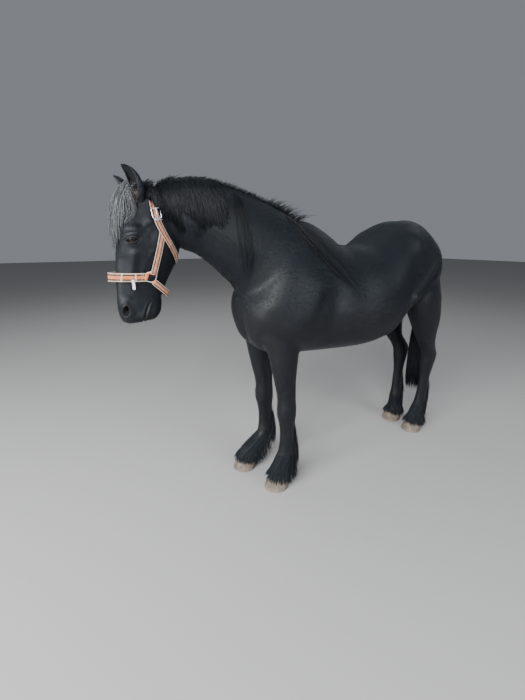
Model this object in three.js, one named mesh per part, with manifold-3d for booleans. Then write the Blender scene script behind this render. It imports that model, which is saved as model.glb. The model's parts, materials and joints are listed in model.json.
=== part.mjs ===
// A Friesian mare standing at rest with her head lowered to feed, life size, in a webbing head collar.
// Millimetres, +Z up, nose towards -X, the horse's left side towards -Y, hooves on Z = 0.
// Flesh is lofted from sections, swelled by named muscles, joined into one body, and parted again by
// thin cuts into head, neck, torso and legs. Long hair is fused, lock by lock, to the flesh it grows from.
import * as THREE from "three";
import { mergeVertices } from "three/addons/utils/BufferGeometryUtils.js";
import Module from "manifold-3d";

const wasm = await Module();
wasm.setup();

// Driving dimensions
const gap = 0.3; // between pieces that touch
const left = -1; // the sign of Y on each side
const right = 1;
const foreStance = 139; // a fore hoof from the middle plane
const hindStance = 104; // a hind hoof from the middle plane
const hoofLength = 158;
const hoofWidth = 146;
const hoofHeight = 86;
const kneeCut = 462; // where each leg is parted below the knee or hock
const hockCut = 560;
const eye = { x: -1374, y: 77, z: 1490, radius: 20, opening: [38, 25] };
const nostril = { x: -1424, y: 44, z: 1180 };
const webbing = { width: 28, noseWidth: 38, thickness: 3, stand: 5.5, noseSlack: 30 };
const ring = { side: 42, radius: 2.6, at: [-1312, 1330] };
const buckle = { length: 40, width: 38, radius: 2.1, at: [-1272.5, 1594] };
const keeper = { length: 6, width: 33, thickness: 2.4, at: [-1266.5, 1567.5] };
const tab = { length: 42, width: 14, thickness: 1.4, stand: 1.7, at: [-1385, 1302] };

// Each leg: the middle of its cannon in x, the middle of its hoof in x, and its distance from the middle.
const legs = {
  fore_leg_left: { side: left, fore: true, cannonX: -606, hoofX: -672, y: foreStance },
  fore_leg_right: { side: right, fore: true, cannonX: -600, hoofX: -758, y: foreStance },
  hind_leg_left: { side: left, fore: false, cannonX: 724, hoofX: 665, y: hindStance },
  hind_leg_right: { side: right, fore: false, cannonX: 698, hoofX: 669, y: hindStance },
};

const colours = {
  coat: 0x14161a,
  hair: 0x0c0d10,
  hoof: 0x8a7a6c,
  eye: 0x120c08,
  webbing: 0xc98a66,
  tab: 0xe4e1da,
  metal: 0xb9bcbf,
};

// Columns of a section: x and z of its low or back end, x and z of its high or front end, half width,
// the share of the way up where it is widest, roundness above and below that (2 is an ellipse),
// and how far its middle lies towards the horse's own middle plane.
const torsoSections = [
  [-832, 1110, -832, 1235, 48, 0.5, 2, 2, 0],
  [-820, 1022, -820, 1295, 104, 0.45, 2, 2, 0],
  [-780, 928, -780, 1375, 172, 0.45, 2, 2, 0],
  [-705, 868, -705, 1455, 242, 0.42, 2, 2, 0],
  [-600, 848, -600, 1542, 276, 0.4, 1.8, 2.1, 0],
  [-450, 838, -450, 1596, 296, 0.38, 1.55, 2.2, 0],
  [-320, 834, -320, 1552, 312, 0.38, 1.6, 2.3, 0],
  [-200, 832, -200, 1474, 326, 0.38, 1.8, 2.3, 0],
  [-90, 832, -90, 1464, 336, 0.38, 2.2, 2.3, 0],
  [20, 842, 20, 1474, 338, 0.4, 2.4, 2.3, 0],
  [120, 866, 120, 1528, 330, 0.43, 2.6, 2.3, 0],
  [210, 905, 210, 1580, 312, 0.46, 2.7, 2.2, 0],
  [300, 960, 300, 1616, 296, 0.49, 2.5, 2.1, 0],
  [400, 1010, 400, 1616, 274, 0.5, 2.3, 2, 0],
  [500, 1045, 500, 1574, 244, 0.5, 2.1, 2, 0],
  [600, 1075, 600, 1514, 204, 0.5, 2, 2, 0],
  [680, 1110, 680, 1448, 156, 0.5, 2, 2, 0],
  [735, 1160, 735, 1385, 102, 0.5, 2, 2, 0],
  [760, 1215, 760, 1320, 48, 0.5, 2, 2, 0],
];

const neckSections = [
  [-620, 1050, -440, 1560, 205, 0.45, 2, 2, 0],
  [-780, 1130, -545, 1618, 186, 0.42, 1.9, 2, 0],
  [-860, 1232, -665, 1670, 158, 0.4, 1.8, 2, 0],
  [-936, 1312, -785, 1710, 132, 0.4, 1.8, 2, 0],
  [-1013, 1380, -900, 1740, 112, 0.42, 1.8, 2, 0],
  [-1080, 1424, -1005, 1757, 98, 0.45, 1.9, 2, 0],
  [-1138, 1446, -1100, 1754, 90, 0.45, 2, 2, 0],
  [-1195, 1470, -1185, 1736, 84, 0.45, 2, 2, 0],
  [-1240, 1500, -1245, 1712, 74, 0.5, 2, 2, 0],
];

const headSections = [
  [-1205, 1640, -1300, 1716, 58, 0.5, 2, 2, 0],
  [-1165, 1560, -1350, 1690, 82, 0.55, 2.2, 2, 0],
  [-1150, 1500, -1392, 1640, 92, 0.6, 2.3, 2, 0],
  [-1152, 1452, -1416, 1580, 98, 0.66, 2.4, 2, 0],
  [-1166, 1412, -1428, 1515, 98, 0.68, 2.4, 2, 0],
  [-1180, 1372, -1437, 1450, 88, 0.6, 2.2, 2, 0],
  [-1203, 1328, -1445, 1388, 74, 0.55, 2, 2, 0],
  [-1224, 1280, -1451, 1325, 62, 0.55, 2, 2, 0],
  [-1244, 1236, -1457, 1262, 55, 0.55, 2, 2.2, 0],
  [-1258, 1196, -1461, 1206, 53, 0.55, 2.2, 2.3, 0],
  [-1270, 1162, -1458, 1160, 52, 0.55, 2.3, 2.3, 0],
  [-1298, 1134, -1442, 1128, 44, 0.55, 2.2, 2.2, 0],
  [-1346, 1122, -1418, 1117, 24, 0.5, 2, 2, 0],
];

// A leg's x values are counted from the middle of its cannon.
const foreLegSections = [
  [84, 1180, -126, 1180, 60, 0.5, 2, 2, 40],
  [110, 1080, -172, 1080, 88, 0.5, 2, 2, 30],
  [98, 980, -168, 980, 90, 0.5, 2, 2, 14],
  [74, 900, -134, 900, 78, 0.5, 2, 2, 4],
  [62, 800, -110, 800, 66, 0.52, 2, 2, 0],
  [54, 700, -86, 700, 57, 0.52, 2, 2, 0],
  [54, 600, -66, 600, 52, 0.5, 2.1, 2.1, 0],
  [57, 530, -64, 530, 54, 0.5, 2.3, 2.3, 0],
  [57, 480, -62, 480, 53, 0.5, 2.3, 2.3, 0],
  [55, 430, -52, 430, 45, 0.5, 2.1, 2.1, 0],
  [55, 360, -45, 360, 40, 0.5, 2, 2, 0],
  [57, 290, -47, 290, 41, 0.5, 2, 2, 0],
  [59, 230, -56, 230, 47, 0.5, 2.1, 2.1, 0],
  [50, 190, -68, 190, 47, 0.5, 2.1, 2.1, 0],
  [27, 140, -94, 140, 46, 0.5, 2.1, 2.1, 0],
  [2, 72, -128, 72, 57, 0.5, 2.1, 2.1, 0],
];

const hindLegSections = [
  [-90, 1420, -270, 1420, 40, 0.6, 2, 1.8, 0],
  [-60, 1330, -290, 1330, 60, 0.6, 2, 1.8, -20],
  [-42, 1230, -340, 1230, 84, 0.62, 2.1, 1.7, -32],
  [-8, 1130, -346, 1130, 98, 0.62, 2.1, 1.7, -38],
  [2, 1030, -322, 1030, 94, 0.6, 2.1, 1.7, -42],
  [2, 930, -270, 930, 84, 0.58, 2, 1.8, -44],
  [-2, 840, -212, 840, 70, 0.56, 2, 1.8, -40],
  [12, 760, -150, 760, 56, 0.56, 2, 1.8, -34],
  [62, 690, -98, 690, 46, 0.58, 2, 1.7, -22],
  [98, 636, -72, 636, 45, 0.62, 2, 1.7, -16],
  [84, 580, -62, 580, 45, 0.6, 2.1, 1.9, -13],
  [60, 520, -52, 520, 41, 0.5, 2.1, 2.1, -11],
  [54, 450, -46, 450, 34, 0.5, 2, 2, -10],
  [55, 370, -47, 370, 36, 0.5, 2, 2, -9],
  [50, 300, -49, 300, 37, 0.5, 2, 2, -6],
  [50, 240, -56, 240, 42, 0.5, 2.1, 2.1, -4],
  [38, 195, -68, 195, 42, 0.5, 2.1, 2.1, -2],
  [14, 140, -92, 140, 42, 0.5, 2.1, 2.1, 0],
  [-10, 72, -136, 72, 57, 0.5, 2.1, 2.1, 0],
];

// Muscles and hollows of the right side, mirrored to the left: a line from one point to another,
// how far they reach from it, and how far they lift the surface.
const bodyForms = [
  { name: "point of the shoulder", from: [-790, 190, 1110], to: [-780, 200, 1150], reach: 75, lift: 22 },
  { name: "breast muscle", from: [-850, 95, 1150], to: [-800, 95, 990], reach: 75, lift: 18 },
  { name: "groove of the breast", from: [-890, 0, 1260], to: [-830, 0, 960], reach: 30, lift: -20 },
  { name: "shoulder blade", from: [-760, 225, 1180], to: [-520, 190, 1480], reach: 65, lift: 14 },
  { name: "hollow before the shoulder", from: [-860, 140, 1290], to: [-660, 150, 1540], reach: 45, lift: -12 },
  { name: "triceps", from: [-640, 270, 1040], to: [-520, 275, 1260], reach: 85, lift: 20 },
  { name: "hollow behind the elbow", from: [-430, 270, 960], to: [-400, 305, 1180], reach: 60, lift: -14 },
  { name: "flank", from: [220, 320, 1180], to: [190, 310, 1370], reach: 85, lift: -22 },
  { name: "point of the hip", from: [240, 236, 1500], to: [262, 262, 1455], reach: 60, lift: 18 },
  { name: "thigh", from: [480, 262, 1200], to: [520, 220, 1400], reach: 100, lift: 12 },
  { name: "stifle", from: [440, 210, 1000], to: [410, 225, 1060], reach: 75, lift: 14 },
  { name: "groove of the buttock", from: [690, 170, 1360], to: [650, 190, 1060], reach: 35, lift: -12 },
  { name: "groove of the croup", from: [300, 0, 1600], to: [680, 0, 1460], reach: 34, lift: -14 },
  { name: "jugular groove", from: [-1060, 92, 1500], to: [-880, 150, 1290], reach: 36, lift: -9 },
];

const headForms = [
  { name: "cheek", from: [-1240, 92, 1440], to: [-1262, 84, 1390], reach: 75, lift: 7 },
  { name: "facial crest", from: [-1376, 84, 1430], to: [-1392, 62, 1330], reach: 22, lift: 7 },
  { name: "brow", from: [-1392, 80, 1530], to: [-1362, 92, 1528], reach: 22, lift: 9 },
  { name: "hollow over the eye", from: [-1340, 78, 1560], to: [-1322, 84, 1540], reach: 26, lift: -9 },
  { name: "side of the nose", from: [-1424, 50, 1400], to: [-1424, 48, 1250], reach: 26, lift: -4 },
  { name: "nostril rim", from: [-1432, 46, 1204], to: [-1412, 52, 1164], reach: 24, lift: 8 },
  { name: "hollow behind the nostril", from: [-1376, 52, 1230], to: [-1372, 52, 1190], reach: 26, lift: -6 },
  { name: "upper lip", from: [-1420, 30, 1136], to: [-1390, 40, 1140], reach: 24, lift: 5 },
  { name: "chin", from: [-1300, 10, 1168], to: [-1308, 20, 1152], reach: 30, lift: 9 },
  { name: "groove under the jaw", from: [-1180, 0, 1360], to: [-1250, 0, 1240], reach: 26, lift: -16 },
];

// A smooth row of values at a place counted in rows.
function smoothRow(rows, place) {
  const last = rows.length - 1;
  const start = Math.min(Math.floor(place), last - 1);
  const t = place - start;
  const before = rows[Math.max(start - 1, 0)];
  const from = rows[start];
  const to = rows[start + 1];
  const after = rows[Math.min(start + 2, last)];
  return from.map((value, i) => {
    const slope = (to[i] - before[i]) / 2;
    const nextSlope = (after[i] - value) / 2;
    const rise = to[i] - value;
    const bend = 3 * rise - 2 * slope - nextSlope + t * (slope + nextSlope - 2 * rise);
    return value + t * (slope + t * bend);
  });
}

// The ring of points round one section, on one side of the horse, grown outwards by a distance.
function ringOf(row, sides, grow, leg) {
  const [lowX, lowZ, highX, highZ, halfWidth, widest, crown, keel, inwards] = row;
  const y = leg ? leg.side * (leg.y - inwards) : 0;
  const shift = (z) => (leg ? legShift(leg, z) : 0);
  const low = new THREE.Vector3(lowX + shift(lowZ), y, lowZ);
  const high = new THREE.Vector3(highX + shift(highZ), y, highZ);
  const along = high.clone().sub(low);
  const reach = along.length();
  along.normalize();
  const middle = low.clone().addScaledVector(along, reach * widest);
  const points = [];
  for (let i = 0; i < sides; i++) {
    const angle = (2 * Math.PI * i) / sides;
    const across = Math.cos(angle);
    const up = Math.sin(angle);
    const power = 2 / (up > 0 ? crown : keel);
    const half = (up > 0 ? 1 - widest : widest) * reach + grow;
    const point = middle.clone();
    point.addScaledVector(along, half * Math.sign(up) * Math.abs(up) ** power);
    point.y += (halfWidth + grow) * Math.sign(across) * Math.abs(across) ** power;
    points.push(point);
  }
  return points;
}

// How far a leg's section lies from the table: at the cannon's place above the fetlock, and led
// forwards or back below it so that the pastern reaches the hoof.
function legShift(leg, z) {
  const pasternTop = 250;
  const pasternFoot = 100;
  const tableOffset = leg.fore ? -64 : -73;
  const share = THREE.MathUtils.smoothstep(pasternTop - z, 0, pasternTop - pasternFoot);
  return leg.cannonX + share * (leg.hoofX - leg.cannonX - tableOffset);
}

// A closed body through rings of equal count, with a fan over each end, or joined end to end.
function bodyOf(rings, joined = false) {
  const sides = rings[0].length;
  const centre = (ring) =>
    ring.reduce((sum, point) => sum.add(point), new THREE.Vector3()).divideScalar(sides);
  const points = rings.flat().concat([centre(rings[0]), centre(rings.at(-1))]);
  const firstCentre = points.length - 2;
  const lastRing = (rings.length - 1) * sides;
  const triangles = [];
  for (let r = 0; r < rings.length - 1; r++) {
    for (let i = 0; i < sides; i++) {
      const a = r * sides + i;
      const b = r * sides + ((i + 1) % sides);
      triangles.push(a, b, b + sides, a, b + sides, a + sides);
    }
  }
  for (let i = 0; i < sides; i++) {
    const next = (i + 1) % sides;
    if (joined) triangles.push(lastRing + i, lastRing + next, next, lastRing + i, next, i);
    else triangles.push(firstCentre, next, i, firstCentre + 1, lastRing + i, lastRing + next);
  }
  const geometry = new THREE.BufferGeometry().setFromPoints(points);
  geometry.setIndex(triangles);
  return geometry;
}

// The geometry with each vertex pushed along its normal by the muscles and hollows near it.
function swell(geometry, forms) {
  geometry.computeVertexNormals();
  const place = geometry.attributes.position;
  const normal = geometry.attributes.normal;
  const lines = forms.map((form) => ({
    ...form,
    line: new THREE.Line3(new THREE.Vector3(...form.from), new THREE.Vector3(...form.to)),
  }));
  const point = new THREE.Vector3();
  const mirrored = new THREE.Vector3();
  const nearest = new THREE.Vector3();
  for (let i = 0; i < place.count; i++) {
    point.fromBufferAttribute(place, i);
    mirrored.set(point.x, Math.abs(point.y), point.z);
    let lift = 0;
    for (const form of lines) {
      form.line.closestPointToPoint(mirrored, true, nearest);
      lift += form.lift * Math.exp(-((nearest.distanceTo(mirrored) / form.reach) ** 2));
    }
    point.addScaledVector(new THREE.Vector3().fromBufferAttribute(normal, i), lift);
    place.setXYZ(i, point.x, point.y, point.z);
  }
  return geometry;
}

// The end ring of a loft moved on, away from the ring before it.
function pushEnd(ring, neighbour, distance) {
  const step = ring[0].clone().sub(neighbour[0]).add(ring[ring.length >> 1]).sub(neighbour[ring.length >> 1]);
  for (const point of ring) point.addScaledVector(step.clone().normalize(), distance);
}

function loft(rows, { steps, sides, grow = 0, leg, forms = [] }) {
  const count = (rows.length - 1) * steps;
  const rings = [];
  for (let i = 0; i <= count; i++) rings.push(ringOf(smoothRow(rows, i / steps), sides, grow, leg));
  pushEnd(rings[0], rings[1], grow);
  pushEnd(rings[count], rings[count - 1], grow);
  return swell(bodyOf(rings), forms);
}

// A closed three.js geometry as a solid, turned outwards if its faces point in.
function solidOf(geometry) {
  const bare = geometry.clone();
  bare.deleteAttribute("normal");
  bare.deleteAttribute("uv");
  const merged = mergeVertices(bare, 1e-3);
  const triVerts = new Uint32Array(merged.index.array);
  const vertProperties = new Float32Array(merged.attributes.position.array);
  const make = () => new wasm.Manifold(new wasm.Mesh({ numProp: 3, vertProperties, triVerts }));
  const solid = make();
  if (solid.volume() > 0) return solid;
  for (let i = 0; i < triVerts.length; i += 3) {
    [triVerts[i + 1], triVerts[i + 2]] = [triVerts[i + 2], triVerts[i + 1]];
  }
  return make();
}

const union = (solids) => wasm.Manifold.union(solids);
const largest = (solid) => solid.decompose().sort((a, b) => b.volume() - a.volume())[0];

// A solid as a three.js geometry.
function geometryOf(solid) {
  const mesh = solid.getMesh();
  const geometry = new THREE.BufferGeometry();
  geometry.setAttribute("position", new THREE.BufferAttribute(mesh.vertProperties, 3));
  geometry.setIndex(new THREE.BufferAttribute(mesh.triVerts, 1));
  return geometry;
}

// A box whose lower back edge starts at one x, z point and whose upper back edge lies towards
// another, reaching forwards from that line by a depth and across from one y to another.
function cutter(from, to, depth, lowY, highY, grow = 0) {
  const direction = new THREE.Vector2(to[0] - from[0], to[1] - from[1]);
  const height = direction.length();
  const box = new THREE.BoxGeometry(depth + 2 * grow, highY - lowY + 2 * grow, height + 2 * grow);
  box.translate(-depth / 2, (lowY + highY) / 2, height / 2);
  box.rotateY(Math.atan2(direction.x, direction.y));
  box.translate(from[0], 0, from[1]);
  return solidOf(box);
}

// Flesh, grown by a distance where something has to keep clear of it.
function legFlesh(leg, grow = 0) {
  const rows = leg.fore ? foreLegSections : hindLegSections;
  return solidOf(loft(rows, { steps: 1, sides: 14, grow, leg, forms: bodyForms }));
}
const torsoFlesh = (grow = 0) =>
  solidOf(loft(torsoSections, { steps: 2, sides: 22, grow, forms: bodyForms }));
const neckFlesh = (grow = 0) =>
  solidOf(loft(neckSections, { steps: 2, sides: 22, grow, forms: bodyForms }));
const headFlesh = (grow = 0) =>
  solidOf(loft(headSections, { steps: 2, sides: 24, grow, forms: headForms }));

const fleshOf = (grow) =>
  union([torsoFlesh(grow), neckFlesh(grow), headFlesh(grow), ...Object.values(legs).map((leg) => legFlesh(leg, grow))]);

// Where the flesh is parted: the lower and upper ends of each cut, seen from the side.
const cuts = {
  head: { from: [-1045, 1040], to: [-1262, 1880], depth: 620, lowY: -300, highY: 300 },
  neck: { from: [-880, 1108], to: [-440, 1720], depth: 620, lowY: -400, highY: 400 },
  fore_cannon_left: { from: [-380, kneeCut], to: [-980, kneeCut], depth: 520, lowY: -420, highY: -gap / 2 },
  fore_cannon_right: { from: [-380, kneeCut], to: [-980, kneeCut], depth: 520, lowY: gap / 2, highY: 420 },
  hind_cannon_left: { from: [980, hockCut], to: [380, hockCut], depth: 600, lowY: -420, highY: -gap / 2 },
  hind_cannon_right: { from: [980, hockCut], to: [380, hockCut], depth: 600, lowY: gap / 2, highY: 420 },
  fore_leg_left: { from: [-496, 942], to: [-880, 980], depth: 1100, lowY: -420, highY: -48 },
  fore_leg_right: { from: [-496, 942], to: [-880, 980], depth: 1100, lowY: 48, highY: 420 },
  hind_leg_left: { from: [1000, 1160], to: [372, 1034], depth: 1300, lowY: -420, highY: -gap / 2 },
  hind_leg_right: { from: [1000, 1160], to: [372, 1034], depth: 1300, lowY: gap / 2, highY: 420 },
};

const cutSolid = ({ from, to, depth, lowY, highY }, grow = 0) => cutter(from, to, depth, lowY, highY, grow);

const flesh = {};
let rest = fleshOf(0);
for (const [name, cut] of Object.entries(cuts)) {
  flesh[name] = largest(rest.intersect(cutSolid(cut)));
  rest = rest.subtract(cutSolid(cut, gap));
}
flesh.torso = largest(rest);

// A hoof: a sloping cone of horn, flat below, with its top cut clear of the leg.
function hoof(leg, grow = 0) {
  const sides = 14;
  const slope = 52; // how far the toe runs forwards from coronet to ground
  const ring = (z, halfLength, halfWidth, forwards) => {
    const points = [];
    for (let i = 0; i < sides; i++) {
      const angle = (2 * Math.PI * i) / sides;
      const heel = Math.cos(angle) > 0 ? 0.9 : 1;
      points.push(
        new THREE.Vector3(
          leg.hoofX - forwards + (halfLength + grow) * heel * Math.cos(angle),
          leg.side * leg.y + (halfWidth + grow) * Math.sin(angle),
          (z + (z > 60 ? 2 * grow : 0)) * (Math.cos(angle) > 0 ? 1 - 0.42 * Math.cos(angle) * (z > 1 ? 1 : 0) : 1),
        ),
      );
    }
    return points;
  };
  const half = hoofLength / 2;
  const width = hoofWidth / 2;
  return solidOf(
    bodyOf([
      ring(0, half, width, 0),
      ring(10, half - 1, width - 1, -3),
      ring(hoofHeight * 0.55, half - 10, width - 8, -slope * 0.38),
      ring(hoofHeight, half - 18, width - 15, -slope * 0.7),
    ]),
  );
}

// Ears: a pointed leaf, hollowed in front into a cup, standing on the side of the poll.
const ear = { width: 30, depth: 18 };
const earLines = {
  [left]: [[-1322, -50, 1636], [-1318, -80, 1738], [-1386, -60, 1774]],
  [right]: [[-1330, 50, 1630], [-1332, 80, 1720], [-1402, 62, 1750]],
};
const earShares = [0.7, 0.9, 1.04, 1.06, 0.94, 0.72, 0.4, 0.08];

function earRings(side, { grow = 0, scale = 1, forwards = 0, sides = 10 }) {
  const curve = new THREE.QuadraticBezierCurve3(...earLines[side].map((at) => new THREE.Vector3(...at)));
  const facing = new THREE.Vector3(-0.88, side * 0.44, -0.2).normalize(); // the way the cup opens
  return earShares.map((share, i) => {
    const t = i / (earShares.length - 1);
    const along = curve.getTangent(t);
    const across = new THREE.Vector3().crossVectors(along, facing).normalize();
    const out = new THREE.Vector3().crossVectors(across, along).normalize();
    const centre = curve.getPoint(t).addScaledVector(out, forwards * share);
    return Array.from({ length: sides }, (_, k) => {
      const angle = (2 * Math.PI * k) / sides;
      return centre
        .clone()
        .addScaledVector(across, (ear.width * share * scale + grow) * Math.cos(angle))
        .addScaledVector(out, (ear.depth * share * scale + grow) * Math.sin(angle));
    });
  });
}

const earLeaf = (side, grow = 0) => solidOf(bodyOf(earRings(side, { grow })));

function earSolid(side) {
  const cup = solidOf(bodyOf(earRings(side, { scale: 0.8, forwards: 8 }).slice(1, -1)));
  return largest(earLeaf(side).subtract(cup).subtract(headFlesh(gap)).subtract(neckFlesh(gap)));
}

// The eyeball, and the lids that leave an almond of it showing.
const eyeFacing = (side) => new THREE.Vector3(-0.3, side * 0.94, -0.12).normalize();

function ball(side, radius, detail = 12) {
  const sphere = new THREE.SphereGeometry(radius, detail, Math.round(detail * 0.7));
  sphere.translate(eye.x, side * eye.y, eye.z);
  return solidOf(sphere);
}

function eyeOpening(side) {
  const [width, height] = eye.opening;
  const almond = new THREE.Shape();
  almond.moveTo(-width / 2, 0);
  almond.quadraticCurveTo(0, height * 0.78, width / 2, 0);
  almond.quadraticCurveTo(0, -height, -width / 2, 0);
  const prism = new THREE.ExtrudeGeometry(almond, { depth: 60, bevelEnabled: false, curveSegments: 6 });
  const out = eyeFacing(side);
  const across = new THREE.Vector3(0.94, side * 0.28, 0.22).normalize();
  across.addScaledVector(out, -across.dot(out)).normalize();
  const up = new THREE.Vector3().crossVectors(out, across);
  if (up.z < 0) {
    across.negate();
    up.negate();
  }
  prism.applyMatrix4(new THREE.Matrix4().makeBasis(across, up, out).setPosition(eye.x, side * eye.y, eye.z));
  return solidOf(prism);
}

function nostrilPit(side) {
  const pit = new THREE.SphereGeometry(1, 12, 8);
  pit.scale(11, 18, 17);
  pit.rotateX(side * 0.5);
  pit.rotateZ(side * 0.5);
  pit.translate(nostril.x, side * (nostril.y + 6), nostril.z);
  return solidOf(pit);
}

// The line of the mouth: a slit round the muzzle, as deep as the lips are thick.
function mouthSlit() {
  const line = new THREE.Shape();
  line.moveTo(-1364, 1090);
  line.quadraticCurveTo(-1352, 1160, -1322, 1216);
  line.lineTo(-1325, 1217);
  line.quadraticCurveTo(-1357, 1160, -1369, 1090);
  const slab = new THREE.ExtrudeGeometry(line, { depth: 140, bevelEnabled: false, curveSegments: 6 });
  slab.rotateX(Math.PI / 2);
  slab.translate(0, 70, 0);
  return solidOf(slab).subtract(headFlesh(-8));
}

function finishHead() {
  let head = flesh.head;
  for (const side of [left, right]) {
    head = head
      .add(ball(side, eye.radius + 4.5))
      .subtract(ball(side, eye.radius + gap))
      .subtract(eyeOpening(side))
      .subtract(nostrilPit(side));
  }
  flesh.head = largest(head.subtract(mouthSlit()));
}

finishHead();

const fleshGrown = fleshOf(0.4);

// How far the whole flesh reaches to one side at an x and z, or nothing where there is none.
const whole = new THREE.Mesh(geometryOf(fleshOf(0)), new THREE.MeshBasicMaterial({ side: THREE.DoubleSide }));
const caster = new THREE.Raycaster();
function sideAt(x, z) {
  caster.set(new THREE.Vector3(x, 900, z), new THREE.Vector3(0, -1, 0));
  const hit = caster.intersectObject(whole)[0];
  return hit && hit.point.y > 0 ? hit.point.y : undefined;
}
function topAt(x, y) {
  caster.set(new THREE.Vector3(x, y, 2500), new THREE.Vector3(0, 0, -1));
  return caster.intersectObject(whole)[0].point.z;
}

// Where a taut strap runs round the flesh in a plane that holds the Y axis: the plane's own forward
// direction is given in x and z, and so is a point inside the flesh that the strap runs round.
// A bow moves part of the loop forwards, out of the plane.
function tautLoop(centre, forward, offset, count, slack, bow) {
  const v = new THREE.Vector3(forward[0], 0, forward[1]).normalize();
  const normal = new THREE.Vector3(0, 1, 0).cross(v);
  const originAt = (height) => {
    const bowed = bow.depth * Math.exp(-(((height - bow.at) / bow.reach) ** 2));
    return new THREE.Vector3(centre[0], 0, centre[1]).addScaledVector(normal, offset - bowed);
  };
  const directions = Array.from({ length: count }, (_, i) => {
    const angle = (2 * Math.PI * i) / count;
    return { y: Math.cos(angle), v: Math.sin(angle) };
  });
  const hits = directions.map((direction) => {
    const ray = new THREE.Vector3(0, direction.y, 0).addScaledVector(v, direction.v);
    const origin = originAt(direction.v * bow.span);
    caster.set(origin.addScaledVector(ray, 500), ray.clone().negate());
    const hit = caster.intersectObject(whole)[0];
    const reach = hit && hit.distance < 500 ? 500 - hit.distance : 1;
    return { y: direction.y * reach, v: direction.v * reach };
  });
  return directions.map((direction) => {
    const reach = hullReach(hits, direction);
    const ray = new THREE.Vector3(0, direction.y, 0).addScaledVector(v, direction.v);
    const origin = originAt(direction.v * reach);
    return { origin, ray, reach: reach + slack * Math.max(direction.v, 0) ** 2 };
  });
}

// How far the convex outline of some points reaches along a direction from their origin.
function hullReach(points, direction) {
  let reach = Infinity;
  for (let i = 0; i < 90; i++) {
    const angle = (2 * Math.PI * i) / 90;
    const facing = { y: Math.cos(angle), v: Math.sin(angle) };
    const along = facing.y * direction.y + facing.v * direction.v;
    if (along < 0.2) continue;
    const support = Math.max(...points.map((point) => point.y * facing.y + point.v * facing.v));
    reach = Math.min(reach, support / along);
  }
  return reach;
}

const straight = { depth: 0, at: 0, reach: 1, span: 0 };

function strap(centre, forward, options = {}) {
  const { width = webbing.width, slack = 0, count = 32, grow = 0, bow = straight } = options;
  const low = tautLoop(centre, forward, -width / 2 - grow, count, slack, bow);
  const high = tautLoop(centre, forward, width / 2 + grow, count, slack, bow);
  const rings = low.map((edge, i) => {
    const at = (side, height) => side.origin.clone().addScaledVector(side.ray, side.reach + height);
    const inner = webbing.stand - grow;
    const outer = webbing.stand + webbing.thickness + grow;
    return [at(edge, inner), at(high[i], inner), at(high[i], outer), at(edge, outer)];
  });
  return solidOf(bodyOf(rings, true));
}

// Axes at a place on one side of the head: out from the flesh, up along a direction, and across.
function seat(x, z, side, up, lift) {
  const at = (dx, dz) => new THREE.Vector3(x + dx, side * sideAt(x + dx, z + dz), z + dz);
  const slopeX = at(16, 0).sub(at(-16, 0));
  const slopeZ = at(0, 16).sub(at(0, -16));
  const out = new THREE.Vector3().crossVectors(slopeX, slopeZ).normalize();
  if (out.y * side < 0) out.negate();
  const along = new THREE.Vector3(up[0], 0, up[1]);
  along.addScaledVector(out, -along.dot(out)).normalize();
  const across = new THREE.Vector3().crossVectors(along, out);
  return { origin: at(0, 0).addScaledVector(out, lift), across, along, out };
}

function place(geometry, { origin, across, along, out }) {
  return geometry.applyMatrix4(new THREE.Matrix4().makeBasis(across, along, out).setPosition(origin));
}

// A rounded rectangle of round bar lying flat on a seat.
function barFrame(width, height, radius, at) {
  const corner = 6;
  const path = new THREE.CurvePath();
  const outline = new THREE.Shape();
  const [x, y] = [width / 2, height / 2];
  outline.moveTo(-x + corner, -y);
  outline.lineTo(x - corner, -y);
  outline.quadraticCurveTo(x, -y, x, -y + corner);
  outline.lineTo(x, y - corner);
  outline.quadraticCurveTo(x, y, x - corner, y);
  outline.lineTo(-x + corner, y);
  outline.quadraticCurveTo(-x, y, -x, y - corner);
  outline.lineTo(-x, -y + corner);
  outline.quadraticCurveTo(-x, -y, -x + corner, -y);
  const spots = outline.getPoints(2).slice(0, -1);
  const rings = spots.map((spot, i) => {
    const before = spots.at(i - 1);
    const after = spots[(i + 1) % spots.length];
    const tangent = after.clone().sub(before).normalize();
    const aside = new THREE.Vector3(tangent.y, -tangent.x, 0);
    return Array.from({ length: 5 }, (_, k) => {
      const angle = (2 * Math.PI * k) / 5;
      return new THREE.Vector3(spot.x, spot.y, radius * Math.sin(angle)).addScaledVector(
        aside,
        radius * Math.cos(angle),
      );
    });
  });
  return solidOf(place(bodyOf(rings, true), at));
}

function block(width, height, depth, x, y, turn, at) {
  const box = new THREE.BoxGeometry(width, height, depth);
  box.translate(x, y, 0);
  box.rotateZ(turn);
  return solidOf(place(box, at));
}

// The head collar
const cheekTop = [-1258, 1512];
const upCheek = [cheekTop[0] - ring.at[0], cheekTop[1] - ring.at[1]];
const ringSeat = (side) => seat(...ring.at, side, upCheek, webbing.stand + webbing.thickness / 2 + 0.6);
const ringSolid = (side, grow = 0) => barFrame(ring.side, ring.side, ring.radius + grow, ringSeat(side));

const behindEar = { depth: 33, at: 10, reach: 110, span: 150 };
const headpieceLoop = (grow = 0) => strap([-1230, 1560], [-80, 228], { grow, bow: behindEar });
const nosebandLoop = (grow = 0) =>
  strap([-1378, 1330], [-143, 3], { width: webbing.noseWidth, slack: webbing.noseSlack, grow });
const jawLoop = (grow = 0) => strap([-1330, 1334], [90, -82], { count: 24, slack: 3, grow });
const cheekLoop = (grow = 0) => strap([-1278, 1420], upCheek, { grow });

const bar = ring.side / 2;
const both = (make) => union([make(left), make(right)]);
const wrap = (side, x, y, turn, width) => block(width, 12, 8.6, x, y, turn, ringSeat(side));
const ringsGrown = both((side) => ringSolid(side, gap));
const acrossSign = (side) => Math.sign(ringSeat(side).across.x);

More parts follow.
